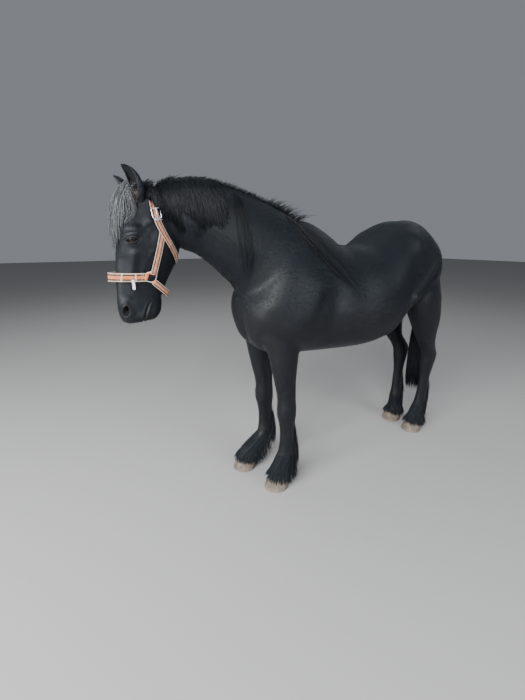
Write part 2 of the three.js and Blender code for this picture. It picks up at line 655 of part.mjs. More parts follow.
function halterSolids() {
  const clear = (solid) => solid.subtract(fleshOf(0.8)).subtract(ringsGrown);
  const cheek = cheekLoop()
    .trimByPlane([0, 0, -1], -cheekTop[1] - 6)
    .trimByPlane([0, 0, 1], ring.at[1] + bar - 3);
  const headpiece = union([headpieceLoop(), cheek, both((side) => wrap(side, 0, bar, 0, webbing.width - 2))]);
  const noseband = nosebandLoop()
    .trimByPlane([-1, 0, 0], -(ring.at[0] - bar - 1))
    .add(both((side) => wrap(side, 0, bar, (acrossSign(side) * Math.PI) / 2, webbing.width - 2)));
  const jaw = jawLoop()
    .trimByPlane([0.74, 0, -0.67], 0.74 * (ring.at[0] + 17) - 0.67 * (ring.at[1] - 17))
    .add(both((side) => wrap(side, 0, bar * 1.22, (-acrossSign(side) * Math.PI * 3) / 4, webbing.width - 10)));
  return {
    halter_headpiece: clear(headpiece),
    halter_noseband: clear(noseband),
    halter_jaw_strap: clear(jaw),
  };
}

// Long hair, in flat tapered locks
function seeded(seed) {
  let state = seed;
  return (low, high) => {
    state = (state * 1664525 + 1013904223) % 4294967296;
    return low + ((high - low) * state) / 4294967296;
  };
}

// A flat lock along a line of points, lying against whatever faces it from the middle.
const longShares = [0.72, 1, 0.96, 0.78, 0.1];
const shortShares = [0.75, 1, 0.82, 0.1];

function lock(points, width, thickness, outwards, shares = longShares) {
  const curve = new THREE.CatmullRomCurve3(points);
  const rings = shares.map((share, i) => {
    const t = i / (shares.length - 1);
    const centre = curve.getPoint(t);
    const along = curve.getTangent(t);
    const out = outwards(centre, along).addScaledVector(along, -outwards(centre, along).dot(along)).normalize();
    const across = new THREE.Vector3().crossVectors(along, out);
    const corner = (w, h) => centre.clone().addScaledVector(across, w).addScaledVector(out, h);
    const [w, h] = [(width / 2) * share, (thickness / 2) * Math.max(share, 0.25)];
    return [corner(w, 0), corner(0, h), corner(-w, 0), corner(0, -h)];
  });
  return solidOf(bodyOf(rings));
}

// How tall the flesh is at an x.
function depthAt(x) {
  caster.set(new THREE.Vector3(x, 0, -100), new THREE.Vector3(0, 0, 1));
  return topAt(x, 0) - caster.intersectObject(whole)[0].point.z;
}

// A line of hair falling over one side of the flesh from its top line, lying on it where there is flesh.
function fallingLine(x, side, { length, sway, lift, bend = 0, steps = 5 }) {
  const top = topAt(x, 0);
  const points = [new THREE.Vector3(x, side * 4, top - 24)];
  points.push(new THREE.Vector3(x + sway * 0.04, side * (10 + lift), top + 2));
  let y = 20;
  for (let i = 1; i <= steps; i++) {
    const t = i / steps;
    const spotX = x + sway * t + bend * Math.sin(t * Math.PI * 1.6);
    const z = top + 2 - length * t;
    const flesh = sideAt(spotX, z);
    y = flesh === undefined ? y - 3 : Math.max(flesh, y - 6);
    points.push(new THREE.Vector3(spotX, side * (y + lift), z));
  }
  return points;
}

// A line of hair through x and z spots on one side, lying on the flesh, with its first spot sunk in.
function lyingLine(spots, side, lift) {
  return spots.map(([x, z], i) => {
    const height = i === 0 ? -14 : lift;
    return new THREE.Vector3(x, side * ((sideAt(x, z) ?? 0) + height), z);
  });
}

const toSide = (side) => () => new THREE.Vector3(0, side, 0.25);

// The mane hangs on the right in two layers, with a short fall by the ears on the left. Two strands
// have come over to the left: one down the neck, and one from the withers over the shoulder.
const mane = [
  { side: right, from: -1176, to: -490, count: 9, length: [350, 400], width: 84, thickness: 14, lift: 9 },
  { side: right, from: -1130, to: -540, count: 5, length: [270, 380], width: 58, thickness: 12, lift: 18 },
  { side: left, from: -1170, to: -1010, count: 4, length: [170, 250], width: 48, thickness: 12, lift: 9 },
];
const strands = [
  { width: 24, thickness: 10, spots: [[-880, 1716], [-872, 1640], [-862, 1500], [-853, 1373], [-842, 1245]] },
  { width: 34, thickness: 11, spots: [[-585, 1600], [-535, 1545], [-468, 1440], [-388, 1335], [-290, 1232]] },
  { width: 26, thickness: 10, spots: [[-565, 1606], [-500, 1540], [-420, 1430], [-320, 1310], [-208, 1168]] },
];

function maneLocks() {
  const random = seeded(17);
  const locks = [];
  for (const hair of mane) {
    for (let i = 0; i < hair.count; i++) {
      const x = hair.from + ((hair.to - hair.from) * i) / (hair.count - 1);
      const line = fallingLine(x, hair.side, {
        length: Math.min(random(...hair.length), depthAt(x) - 20),
        sway: random(0, 46),
        bend: random(-9, 9),
        lift: hair.lift,
      });
      locks.push(lock(line, hair.width * random(0.85, 1.15), hair.thickness, toSide(hair.side)));
    }
  }
  for (const hair of strands) {
    const line = lyingLine(hair.spots, left, hair.thickness * 0.5 + 3);
    locks.push(lock(line, hair.width, hair.thickness, toSide(left)));
  }
  return locks;
}

// Hair joined to the node it grows from, and kept clear of everything else.
function grown(node, locks, others) {
  return largest(union([node, ...locks.map((hair) => hair.subtract(others))]));
}

const maneOthers = union([
  fleshGrown.subtract(cutSolid(cuts.neck)),
  fleshGrown.intersect(cutSolid(cuts.head)),
  headpieceLoop(0.8),
]);
flesh.neck = grown(flesh.neck, maneLocks(), maneOthers);

// The forelock falls from the poll over the brow, most of it to the right.
const forelock = { count: 6, from: -24, to: 36, width: 32, thickness: 9, length: [230, 290] };

function forelockLocks() {
  const random = seeded(23);
  const locks = [];
  for (let i = 0; i < forelock.count; i++) {
    const y = forelock.from + ((forelock.to - forelock.from) * i) / (forelock.count - 1);
    const length = random(...forelock.length);
    const out = 8 * (i % 2);
    const points = [
      new THREE.Vector3(-1322, y * 0.5, 1680),
      new THREE.Vector3(-1356, y * 0.8, 1712),
      new THREE.Vector3(-1410 - out * 0.5, y + random(-3, 3), 1655),
      new THREE.Vector3(-1441 - out, y * 1.15 + random(-4, 4), 1712 - length * 0.55),
      new THREE.Vector3(-1452 - out * 0.6, y * 1.4 + random(-8, 8), 1712 - length),
    ];
    locks.push(lock(points, forelock.width, forelock.thickness, () => new THREE.Vector3(-1, 0, 0.3)));
  }
  return locks;
}
flesh.head = grown(
  flesh.head,
  forelockLocks(),
  both((side) => earLeaf(side, 0.6)).add(headpieceLoop(0.8)),
);

// The tail: a tapering dock set into the croup, and hair falling to below the hocks.
const tail = {
  dock: [
    [650, 1390, 664, 1462, 32, 0.5, 2, 2, 0],
    [706, 1366, 732, 1434, 38, 0.5, 2, 2, 0],
    [738, 1300, 782, 1342, 36, 0.5, 2, 2, 0],
    [744, 1190, 790, 1200, 30, 0.5, 2, 2, 0],
    [752, 1050, 784, 1050, 18, 0.5, 2, 2, 0],
  ],
  layers: [
    { count: 5, rootZ: 1390, reach: 1, foot: [300, 430], width: 78, thickness: 20 },
    { count: 3, rootZ: 1240, reach: 0.45, foot: [245, 300], width: 64, thickness: 26 },
  ],
};

function tailSolid() {
  const random = seeded(31);
  const locks = [];
  for (const layer of tail.layers) {
    for (let i = 0; i < layer.count; i++) {
      const angle = (2 * Math.PI * (i + 0.5)) / layer.count;
      const foot = random(...layer.foot);
      const spot = (x, z, share) =>
        new THREE.Vector3(
          x + Math.sin(angle) * 30 * share * layer.reach + random(-3, 3),
          Math.cos(angle) * 44 * share * layer.reach + random(-3, 3),
          z,
        );
      const points = [
        spot(742, layer.rootZ, 0.3),
        spot(774, layer.rootZ - 190, 0.8),
        spot(782, 900, 1.2),
        spot(778, 580, 1.1),
        spot(772, foot, 0.55),
      ];
      const outwards = () => new THREE.Vector3(Math.sin(angle), Math.cos(angle), 0);
      locks.push(lock(points, layer.width, layer.thickness, outwards));
    }
  }
  const dock = solidOf(loft(tail.dock, { steps: 2, sides: 12 }));
  return largest(union([dock, ...locks]).subtract(fleshOf(0.6)));
}

// Feather: hair from the back and sides of each leg below the knee or hock, over the hoof's heels.
const feather = [
  { count: 2, top: 430, foot: [190, 240], reach: [24, 44, 56, 66], width: 52, thickness: 12, spread: 0.5 },
  { count: 4, top: 330, foot: [22, 52], reach: [16, 60, 92, 112], width: 72, thickness: 13, spread: 1.7 },
];

function featherLocks(leg) {
  const random = seeded(41 + (leg.fore ? 0 : 7) + leg.side);
  const locks = [];
  for (const layer of feather) {
    for (let i = 0; i < layer.count; i++) {
      const angle = ((i / (layer.count - 1)) * 2 - 1) * layer.spread; // 0 is straight behind
      const forwards = (1 - Math.cos(angle)) / 2;
      const foot = random(...layer.foot) + 40 * forwards;
      const points = layer.reach.map((reach, k) => {
        const z = layer.top + ((foot - layer.top) * k) / (layer.reach.length - 1);
        const led = THREE.MathUtils.smoothstep(250 - z, 0, 190) * (0.12 + 0.88 * Math.min(forwards * 1.5, 1));
        const out = reach * (1 - 0.36 * forwards) * (leg.fore ? 1 : 0.86) + random(-3, 3);
        return new THREE.Vector3(
          leg.cannonX + led * (leg.hoofX - leg.cannonX) + out * Math.cos(angle),
          leg.side * leg.y + out * Math.sin(angle),
          z,
        );
      });
      const outwards = () => new THREE.Vector3(Math.cos(angle), Math.sin(angle), 0.2);
      locks.push(lock(points, layer.width, layer.thickness, outwards, shortShares));
    }
  }
  return locks;
}
for (const [name, leg] of Object.entries(legs)) {
  const cannon = name.replace("leg", "cannon");
  flesh[cannon] = grown(flesh[cannon], featherLocks(leg), hoof(leg, 0.6));
}

const group = new THREE.Group();
function add(name, solid, colour, roughness = 0.6, metalness = 0) {
  const material = new THREE.MeshStandardMaterial({ color: colour, roughness, metalness });
  const mesh = new THREE.Mesh(geometryOf(largest(solid.simplify(0.05))), material);
  mesh.name = name;
  group.add(mesh);
}

for (const [name, solid] of Object.entries(flesh)) add(name, solid, colours.coat);
for (const [name, leg] of Object.entries(legs)) {
  add(name.replace("leg", "hoof"), largest(hoof(leg).subtract(legFlesh(leg, gap))), colours.hoof);
}
add("ear_left", earSolid(left), colours.coat);
add("ear_right", earSolid(right), colours.coat);
add("eye_left", ball(left, eye.radius), colours.eye, 0.1);
add("eye_right", ball(right, eye.radius), colours.eye, 0.1);
for (const [name, solid] of Object.entries(halterSolids())) add(name, solid, colours.webbing);
add("halter_ring_left", ringSolid(left), colours.metal, 0.3, 1);
add("halter_ring_right", ringSolid(right), colours.metal, 0.3, 1);
add("tail", tailSolid(), colours.hair);

const onWebbing = webbing.stand + webbing.thickness + gap;
const buckleSeat = seat(...buckle.at, left, [-30, 228], onWebbing + buckle.radius + 0.6);
const keeperSeat = seat(...keeper.at, left, [-30, 228], onWebbing + keeper.thickness / 2 + 0.6);
const tabSeat = seat(...tab.at, left, [0, 1], onWebbing + tab.thickness / 2 + tab.stand);
add("halter_buckle", barFrame(buckle.width, buckle.length, buckle.radius, buckleSeat), colours.metal, 0.3, 1);
add("halter_keeper", block(keeper.width, keeper.length, keeper.thickness, 0, 0, 0, keeperSeat), colours.metal, 0.3, 1);
add("halter_tab", block(tab.width, tab.length, tab.thickness, 0, 0, 0, tabSeat), colours.tab);

// The origin is the middle of the bounding box, on the ground.
const bounds = new THREE.Box3().setFromObject(group);
const middle = bounds.getCenter(new THREE.Vector3());
for (const mesh of group.children) mesh.geometry.translate(-middle.x, -middle.y, -bounds.min.z);

export default group;
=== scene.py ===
# A Friesian mare at rest in a webbing head collar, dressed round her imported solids.
# Shapes are worked out in millimetres from the middle of her stance, nose towards -X and her left
# side towards -Y, as her solids are, and placeOf turns them into the frame's metres.
from contextlib import contextmanager
import json
import math
import bmesh
import bpy
import numpy as np
from mathutils import Matrix, Vector
from mathutils.bvhtree import BVHTree
from mathutils.kdtree import KDTree

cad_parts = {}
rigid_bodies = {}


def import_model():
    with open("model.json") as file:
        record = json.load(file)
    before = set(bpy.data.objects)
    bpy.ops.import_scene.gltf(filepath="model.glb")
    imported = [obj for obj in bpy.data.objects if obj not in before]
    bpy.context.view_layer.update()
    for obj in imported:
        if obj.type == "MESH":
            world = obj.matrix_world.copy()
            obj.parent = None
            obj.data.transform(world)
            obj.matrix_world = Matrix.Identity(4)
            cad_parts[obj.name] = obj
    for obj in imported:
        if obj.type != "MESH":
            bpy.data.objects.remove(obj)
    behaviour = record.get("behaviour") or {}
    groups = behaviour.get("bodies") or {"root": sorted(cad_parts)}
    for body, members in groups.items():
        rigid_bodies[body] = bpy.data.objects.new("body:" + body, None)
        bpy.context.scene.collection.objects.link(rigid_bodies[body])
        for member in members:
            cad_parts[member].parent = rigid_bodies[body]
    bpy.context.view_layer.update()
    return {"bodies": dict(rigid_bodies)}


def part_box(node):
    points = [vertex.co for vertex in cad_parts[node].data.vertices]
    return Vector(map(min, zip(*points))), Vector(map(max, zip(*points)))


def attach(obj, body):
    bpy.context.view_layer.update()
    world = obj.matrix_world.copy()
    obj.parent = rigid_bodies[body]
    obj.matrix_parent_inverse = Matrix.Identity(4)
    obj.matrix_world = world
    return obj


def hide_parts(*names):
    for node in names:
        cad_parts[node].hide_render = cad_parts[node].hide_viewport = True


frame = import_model()
body = "root" if "root" in frame["bodies"] else sorted(frame["bodies"])[0]
left, right = -1, 1

eyeball = {"x": -1374, "y": 77, "z": 1490, "radius": 20}
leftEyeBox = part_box("eye_left")
shift = np.array((leftEyeBox[0] + leftEyeBox[1]) / 2) - np.array([eyeball["x"], -eyeball["y"], eyeball["z"]]) / 1000


def placeOf(points):
    return np.asarray(points, float) / 1000 + shift


print("frame read, body", body, "shift", shift.round(4))

# The photograph's camera, in metres from the middle of her stance
photo = {
    "place": (-1.649, -1.664, 1.479),
    "right": (0.8679, -0.4968, 0),
    "forward": (0.4734, 0.8272, -0.3027),
    "focalPixels": 340,
    "heightPixels": 700,
    "sensor": 36,
}


def makeCamera():
    data = bpy.data.cameras.new("photoCamera")
    data.sensor_width = photo["sensor"]
    data.lens = photo["sensor"] * photo["focalPixels"] / photo["heightPixels"]
    data.clip_end = 60
    camera = bpy.data.objects.new("photoCamera", data)
    bpy.context.scene.collection.objects.link(camera)
    sideways = Vector(photo["right"]).normalized()
    forward = Vector(photo["forward"]).normalized()
    up = sideways.cross(forward)
    turn = Matrix((sideways, up, -forward)).transposed().to_4x4()
    turn.translation = Vector(photo["place"]) + Vector(shift)
    camera.matrix_world = turn
    bpy.context.scene.camera = camera


makeCamera()

# Her flesh: columns of a section are x and z of its low or back end, x and z of its high or front
# end, half width, the share of the way up where it is widest, roundness above and below that
# (2 is an ellipse), and how far its middle lies towards her own middle plane.
torsoSections = [
    [-832, 1110, -832, 1235, 48, 0.5, 2, 2, 0],
    [-820, 1022, -820, 1295, 104, 0.45, 2, 2, 0],
    [-780, 928, -780, 1375, 172, 0.45, 2, 2, 0],
    [-705, 868, -705, 1455, 242, 0.42, 2, 2, 0],
    [-600, 848, -600, 1542, 276, 0.4, 1.8, 2.1, 0],
    [-450, 838, -450, 1596, 296, 0.38, 1.55, 2.2, 0],
    [-320, 834, -320, 1552, 312, 0.38, 1.6, 2.3, 0],
    [-200, 832, -200, 1474, 326, 0.38, 1.8, 2.3, 0],
    [-90, 832, -90, 1464, 336, 0.38, 2.2, 2.3, 0],
    [20, 842, 20, 1474, 338, 0.4, 2.4, 2.3, 0],
    [120, 866, 120, 1528, 330, 0.43, 2.6, 2.3, 0],
    [210, 905, 210, 1580, 312, 0.46, 2.7, 2.2, 0],
    [300, 960, 300, 1616, 296, 0.49, 2.5, 2.1, 0],
    [400, 1010, 400, 1616, 274, 0.5, 2.3, 2, 0],
    [500, 1045, 500, 1574, 244, 0.5, 2.1, 2, 0],
    [600, 1075, 600, 1514, 204, 0.5, 2, 2, 0],
    [680, 1110, 680, 1448, 156, 0.5, 2, 2, 0],
    [735, 1160, 735, 1385, 102, 0.5, 2, 2, 0],
    [760, 1215, 760, 1320, 48, 0.5, 2, 2, 0],
]

neckSections = [
    [-620, 1050, -440, 1560, 205, 0.45, 2, 2, 0],
    [-780, 1130, -545, 1618, 186, 0.42, 1.9, 2, 0],
    [-860, 1232, -665, 1670, 158, 0.4, 1.8, 2, 0],
    [-936, 1312, -785, 1710, 132, 0.4, 1.8, 2, 0],
    [-1013, 1380, -900, 1740, 112, 0.42, 1.8, 2, 0],
    [-1080, 1424, -1005, 1757, 98, 0.45, 1.9, 2, 0],
    [-1138, 1446, -1100, 1754, 90, 0.45, 2, 2, 0],
    [-1195, 1470, -1185, 1736, 84, 0.45, 2, 2, 0],
    [-1240, 1500, -1245, 1712, 74, 0.5, 2, 2, 0],
]

headSections = [
    [-1205, 1640, -1300, 1716, 58, 0.5, 2, 2, 0],
    [-1165, 1560, -1350, 1690, 82, 0.55, 2.2, 2, 0],
    [-1150, 1500, -1392, 1640, 92, 0.6, 2.3, 2, 0],
    [-1152, 1452, -1416, 1580, 98, 0.66, 2.4, 2, 0],
    [-1166, 1412, -1428, 1515, 98, 0.68, 2.4, 2, 0],
    [-1180, 1372, -1437, 1450, 88, 0.6, 2.2, 2, 0],
    [-1203, 1328, -1445, 1388, 74, 0.55, 2, 2, 0],
    [-1224, 1280, -1451, 1325, 62, 0.55, 2, 2, 0],
    [-1244, 1236, -1457, 1262, 55, 0.55, 2, 2.2, 0],
    [-1258, 1196, -1461, 1206, 53, 0.55, 2.2, 2.3, 0],
    [-1270, 1162, -1458, 1160, 52, 0.55, 2.3, 2.3, 0],
    [-1298, 1134, -1442, 1128, 44, 0.55, 2.2, 2.2, 0],
    [-1346, 1122, -1418, 1117, 24, 0.5, 2, 2, 0],
]

# A leg's x values are counted from the middle of its cannon.
foreLegSections = [
    [84, 1180, -126, 1180, 60, 0.5, 2, 2, 40],
    [110, 1080, -172, 1080, 88, 0.5, 2, 2, 30],
    [98, 980, -168, 980, 90, 0.5, 2, 2, 14],
    [74, 900, -134, 900, 78, 0.5, 2, 2, 4],
    [62, 800, -110, 800, 66, 0.52, 2, 2, 0],
    [54, 700, -86, 700, 57, 0.52, 2, 2, 0],
    [54, 600, -66, 600, 52, 0.5, 2.1, 2.1, 0],
    [57, 530, -64, 530, 54, 0.5, 2.3, 2.3, 0],
    [57, 480, -62, 480, 53, 0.5, 2.3, 2.3, 0],
    [55, 430, -52, 430, 45, 0.5, 2.1, 2.1, 0],
    [55, 360, -45, 360, 40, 0.5, 2, 2, 0],
    [57, 290, -47, 290, 41, 0.5, 2, 2, 0],
    [59, 230, -56, 230, 47, 0.5, 2.1, 2.1, 0],
    [50, 190, -68, 190, 47, 0.5, 2.1, 2.1, 0],
    [27, 140, -94, 140, 46, 0.5, 2.1, 2.1, 0],
    [2, 72, -128, 72, 57, 0.5, 2.1, 2.1, 0],
]

hindLegSections = [
    [-90, 1420, -270, 1420, 40, 0.6, 2, 1.8, 0],
    [-60, 1330, -290, 1330, 60, 0.6, 2, 1.8, -20],
    [-42, 1230, -340, 1230, 84, 0.62, 2.1, 1.7, -32],
    [-8, 1130, -346, 1130, 98, 0.62, 2.1, 1.7, -38],
    [2, 1030, -322, 1030, 94, 0.6, 2.1, 1.7, -42],
    [2, 930, -270, 930, 84, 0.58, 2, 1.8, -44],
    [-2, 840, -212, 840, 70, 0.56, 2, 1.8, -40],
    [12, 760, -150, 760, 56, 0.56, 2, 1.8, -34],
    [62, 690, -98, 690, 46, 0.58, 2, 1.7, -22],
    [98, 636, -72, 636, 45, 0.62, 2, 1.7, -16],
    [84, 580, -62, 580, 45, 0.6, 2.1, 1.9, -13],
    [60, 520, -52, 520, 41, 0.5, 2.1, 2.1, -11],
    [54, 450, -46, 450, 34, 0.5, 2, 2, -10],
    [55, 370, -47, 370, 36, 0.5, 2, 2, -9],
    [50, 300, -49, 300, 37, 0.5, 2, 2, -6],
    [50, 240, -56, 240, 42, 0.5, 2.1, 2.1, -4],
    [38, 195, -68, 195, 42, 0.5, 2.1, 2.1, -2],
    [14, 140, -92, 140, 42, 0.5, 2.1, 2.1, 0],
    [-10, 72, -136, 72, 57, 0.5, 2.1, 2.1, 0],
]

dockSections = [
    [610, 1410, 640, 1496, 36, 0.5, 2, 2, 0],
    [690, 1370, 722, 1444, 37, 0.5, 2, 2, 0],
    [728, 1300, 772, 1346, 34, 0.5, 2, 2, 0],
    [738, 1200, 782, 1212, 27, 0.5, 2, 2, 0],
    [748, 1060, 778, 1060, 15, 0.5, 2, 2, 0],
]

legs = {
    "foreLeft": {"side": left, "fore": True, "cannonX": -606, "hoofX": -672, "y": 139, "node": "fore_%s_left"},
    "foreRight": {"side": right, "fore": True, "cannonX": -600, "hoofX": -758, "y": 139, "node": "fore_%s_right"},
    "hindLeft": {"side": left, "fore": False, "cannonX": 724, "hoofX": 665, "y": 104, "node": "hind_%s_left"},
    "hindRight": {"side": right, "fore": False, "cannonX": 698, "hoofX": 669, "y": 104, "node": "hind_%s_right"},
}

# Muscles, hollows and folds: a line from one point to another on the right side, mirrored to the
# left, how far they reach from it, and how far they lift the skin.
skinForms = [
    # point of the shoulder, breast muscle and the groove between them
    ([-790, 190, 1110], [-780, 200, 1150], 75, 22),
    ([-850, 95, 1150], [-800, 95, 990], 75, 18),
    ([-890, 0, 1260], [-830, 0, 960], 30, -20),
    # shoulder blade, its ridge, the hollow before it and the triceps
    ([-760, 225, 1180], [-520, 190, 1480], 95, 8),
    ([-735, 215, 1240], [-560, 170, 1440], 60, 3),
    ([-860, 140, 1290], [-660, 150, 1540], 75, -8),
    ([-640, 270, 1040], [-520, 275, 1260], 95, 17),
    ([-560, 262, 1010], [-470, 280, 1200], 40, -6),
    ([-430, 270, 960], [-400, 305, 1180], 60, -14),
    # flank, point of the hip, thigh, stifle and the grooves of buttock and croup
    ([120, 325, 1150], [300, 300, 1400], 85, -17),
    ([240, 236, 1500], [262, 262, 1455], 60, 18),
    ([480, 262, 1200], [520, 220, 1400], 100, 12),
    ([440, 210, 1000], [410, 225, 1060], 75, 14),
    ([690, 170, 1360], [650, 190, 1060], 35, -12),
    ([300, 0, 1600], [680, 0, 1460], 34, -14),
    # folds of the flank and behind the elbow, and the line of the last ribs
    ([480, 235, 1378], [225, 300, 1150], 24, 17),
    ([225, 300, 1150], [20, 290, 945], 26, 11),
    ([535, 225, 1350], [285, 292, 1105], 30, -13),
    ([-452, 262, 905], [-430, 292, 1010], 13, -6),
    ([40, 330, 1010], [110, 318, 1240], 60, 3),
    # muscles of forearm and gaskin, knee and hock
    ([-690, 182, 900], [-660, 182, 720], 36, 6),
    ([-560, 178, 880], [-590, 172, 680], 26, -4),
    ([470, 190, 900], [560, 178, 800], 46, 7),
    ([640, 150, 860], [700, 132, 740], 20, -6),
    ([-640, 172, 540], [-640, 168, 490], 22, 5),
    ([742, 138, 640], [700, 142, 600], 20, 5),
    # jugular groove, the muscle above it and creases of the throat
    ([-1060, 92, 1500], [-880, 150, 1290], 36, -9),
    ([-1120, 96, 1560], [-800, 168, 1440], 46, 5),
    ([-1158, 84, 1520], [-1120, 60, 1440], 13, -6),
    ([-1136, 88, 1530], [-1090, 66, 1438], 12, -4),
    ([-1182, 88, 1600], [-1160, 84, 1500], 20, -8),
]

faceForms = [
    ([-1240, 92, 1440], [-1262, 84, 1390], 75, 7),  # cheek
    ([-1376, 84, 1430], [-1392, 62, 1330], 18, 8),  # facial crest
    ([-1392, 80, 1530], [-1362, 92, 1528], 22, 10),  # brow
    ([-1340, 78, 1560], [-1322, 84, 1540], 24, -12),  # hollow over the eye
    ([-1300, 90, 1560], [-1330, 92, 1536], 14, 6),  # arch behind the eye
    ([-1286, 92, 1520], [-1300, 92, 1502], 14, -5),
    ([-1424, 50, 1400], [-1424, 48, 1250], 26, -4),  # side of the nose
    ([-1446, 0, 1430], [-1455, 0, 1300], 20, 3),  # bridge
    ([-1432, 46, 1206], [-1414, 52, 1162], 22, 8),  # nostril
    ([-1400, 54, 1222], [-1384, 56, 1176], 20, -8),
    ([-1420, 30, 1136], [-1390, 40, 1140], 22, 5),  # upper lip
    ([-1438, 0, 1132], [-1420, 0, 1124], 16, 3),
    ([-1300, 10, 1168], [-1308, 20, 1152], 30, 9),  # chin
    ([-1180, 0, 1360], [-1250, 0, 1240], 26, -16),  # groove under the jaw
    ([-1220, 84, 1372], [-1196, 88, 1440], 16, 4),  # edge of the jaw
    ([-1352, 66, 1330], [-1330, 70, 1400], 10, 3),  # veins
    ([-1372, 62, 1300], [-1352, 66, 1330], 7, 2.5),
    ([-1330, 70, 1400], [-1300, 90, 1440], 8, 2),
]


def smoothstep(x, low, high):
    t = np.clip((x - low) / (high - low), 0, 1)
    return t * t * (3 - 2 * t)


def turns(count):
    return np.linspace(0, 2 * math.pi, count, endpoint=False)


# Values between those of a table, and its end values beyond it
def between(x, table):
    return np.interp(x, list(table), list(table.values()))


def unit(values):
    return values / np.maximum(np.linalg.norm(values, axis=-1, keepdims=True), 1e-9)


def smoothRows(rows, steps):
    table = np.array(rows, float)
    places = np.linspace(0, len(rows) - 1, (len(rows) - 1) * steps + 1)
    start = np.minimum(places.astype(int), len(rows) - 2)
    t = (places - start)[:, None]
    here, after = table[start], table[start + 1]
    before, later = table[np.maximum(start - 1, 0)], table[np.minimum(start + 2, len(rows) - 1)]
    slope, nextSlope, rise = (after - before) / 2, (later - here) / 2, after - here
    return here + t * (slope + t * (3 * rise - 2 * slope - nextSlope + t * (slope + nextSlope - 2 * rise)))


# How far a leg's section lies from the table: at the cannon's place above the fetlock, and led
# forwards or back below it so that the pastern reaches the hoof.
def legShift(leg, z):
    tableOffset = -64 if leg["fore"] else -73
    share = smoothstep(250 - z, 0, 150)
    return leg["cannonX"] + share * (leg["hoofX"] - leg["cannonX"] - tableOffset)


# The rings of points of a length of flesh, sunk by the coat's depth.
def ringsOf(rows, steps, sides, sunk, leg=None):
    lowX, lowZ, highX, highZ, halfWidth, widest, crown, keel, inwards = smoothRows(rows, steps).T
    y = leg["side"] * (leg["y"] - inwards) if leg else np.zeros(len(lowX))
    if leg:
        lowX, highX = lowX + legShift(leg, lowZ), highX + legShift(leg, highZ)
    low, high = np.stack([lowX, y, lowZ], 1), np.stack([highX, y, highZ], 1)
    reach = np.linalg.norm(high - low, axis=1)
    along = unit(high - low)
    angle = turns(sides)
    across, up = np.cos(angle)[None], np.sin(angle)[None]
    power = np.where(up > 0, 2 / crown[:, None], 2 / keel[:, None])
    half = np.where(up > 0, ((1 - widest) * reach)[:, None], (widest * reach)[:, None]) - sunk
    middle = low + along * (reach * widest)[:, None]
    points = middle[:, None] + along[:, None] * (half * np.sign(up) * np.abs(up) ** power)[..., None]
    points[..., 1] += (halfWidth[:, None] - sunk) * np.sign(across) * np.abs(across) ** power
    return points


def tubeFaces(rings, sides, closed=False):
    r = np.arange(rings if closed else rings - 1)[:, None]
    i = np.arange(sides)[None]
    a = r * sides + i
    b = r * sides + (i + 1) % sides
    c = ((r + 1) % rings) * sides + (i + 1) % sides
    d = ((r + 1) % rings) * sides + i
    faces = np.stack([a, b, c, d], -1).reshape(-1, 4).tolist()
    if not closed:
        faces += [list(range(sides))[::-1], list(range((rings - 1) * sides, rings * sides))]
    return faces


# The points and faces of several tubes as one mesh, and how many faces each has
def joined(tubes):
    points, faces, counts = [], [], []
    for rings, closed in tubes:
        first = sum(len(p) for p in points)
        made = tubeFaces(*rings.shape[:2], closed=closed)
        points.append(rings.reshape(-1, 3))
        faces += [[first + v for v in face] for face in made]
        counts.append(len(made))
    return np.concatenate(points), faces, counts


def meshFrom(name, points, faces):
    mesh = bpy.data.meshes.new(name)
    mesh.from_pydata(placeOf(points).tolist(), [], faces)
    mesh.update()
    return mesh


def setSmooth(mesh):
    mesh.polygons.foreach_set("use_smooth", np.ones(len(mesh.polygons), bool))


def setField(mesh, name, values):
    values = np.ascontiguousarray(values, np.float32)
    kind, key = ("FLOAT_VECTOR", "vector") if values.ndim > 1 else ("FLOAT", "value")
    mesh.attributes.new(name, kind, "POINT").data.foreach_set(key, values.ravel())


def objectFrom(name, mesh, smooth=True):
    made = bpy.data.objects.new(name, mesh)
    bpy.context.scene.collection.objects.link(made)
    if smooth:
        setSmooth(mesh)
    return made


# The meshes as one that can be edited, and that goes back into the first of them
@contextmanager
def editing(mesh, *others):
    work = bmesh.new()
    for each in (mesh, *others):
        work.from_mesh(each)
    yield work
    work.to_mesh(mesh)
    work.free()


def outwardFacing(made):
    with editing(made.data) as work:
        bmesh.ops.recalc_face_normals(work, faces=work.faces[:])
    return made


# Gives the object the mesh that its modifiers make.
def applyAll(made):
    graph = bpy.context.evaluated_depsgraph_get()
    evaluated = made.evaluated_get(graph)
    result = bpy.data.meshes.new_from_object(evaluated, preserve_all_data_layers=True, depsgraph=graph)
    old = made.data
    made.modifiers.clear()
    made.data = result
    bpy.data.meshes.remove(old)
    result.name = made.name
    return made


def vectorsOf(mesh, key):
    values = np.empty(len(mesh.vertices) * 3, np.float32)
    mesh.vertices.foreach_get(key, values)
    return values.reshape(-1, 3).astype(float)


def pointsOf(mesh):
    return (vectorsOf(mesh, "co") - shift) * 1000


def setPoints(mesh, points):
    mesh.vertices.foreach_set("co", placeOf(points).astype(np.float32).ravel())
    mesh.update()


def normalsOf(mesh):
    return vectorsOf(mesh, "normal")


def liftFrom(points, forms):
    folded = points * np.array([1, 0, 1]) + np.abs(points) * np.array([0, 1, 0])
    lift = np.zeros(len(points))
    for start, end, reach, height in forms:
        a, b = np.array(start, float), np.array(end, float)
        t = np.clip(((folded - a) @ (b - a)) / ((b - a) @ (b - a)), 0, 1)
        near = a + t[:, None] * (b - a)
        lift += height * np.exp(-(((folded - near) ** 2).sum(1)) / reach**2)
    return lift


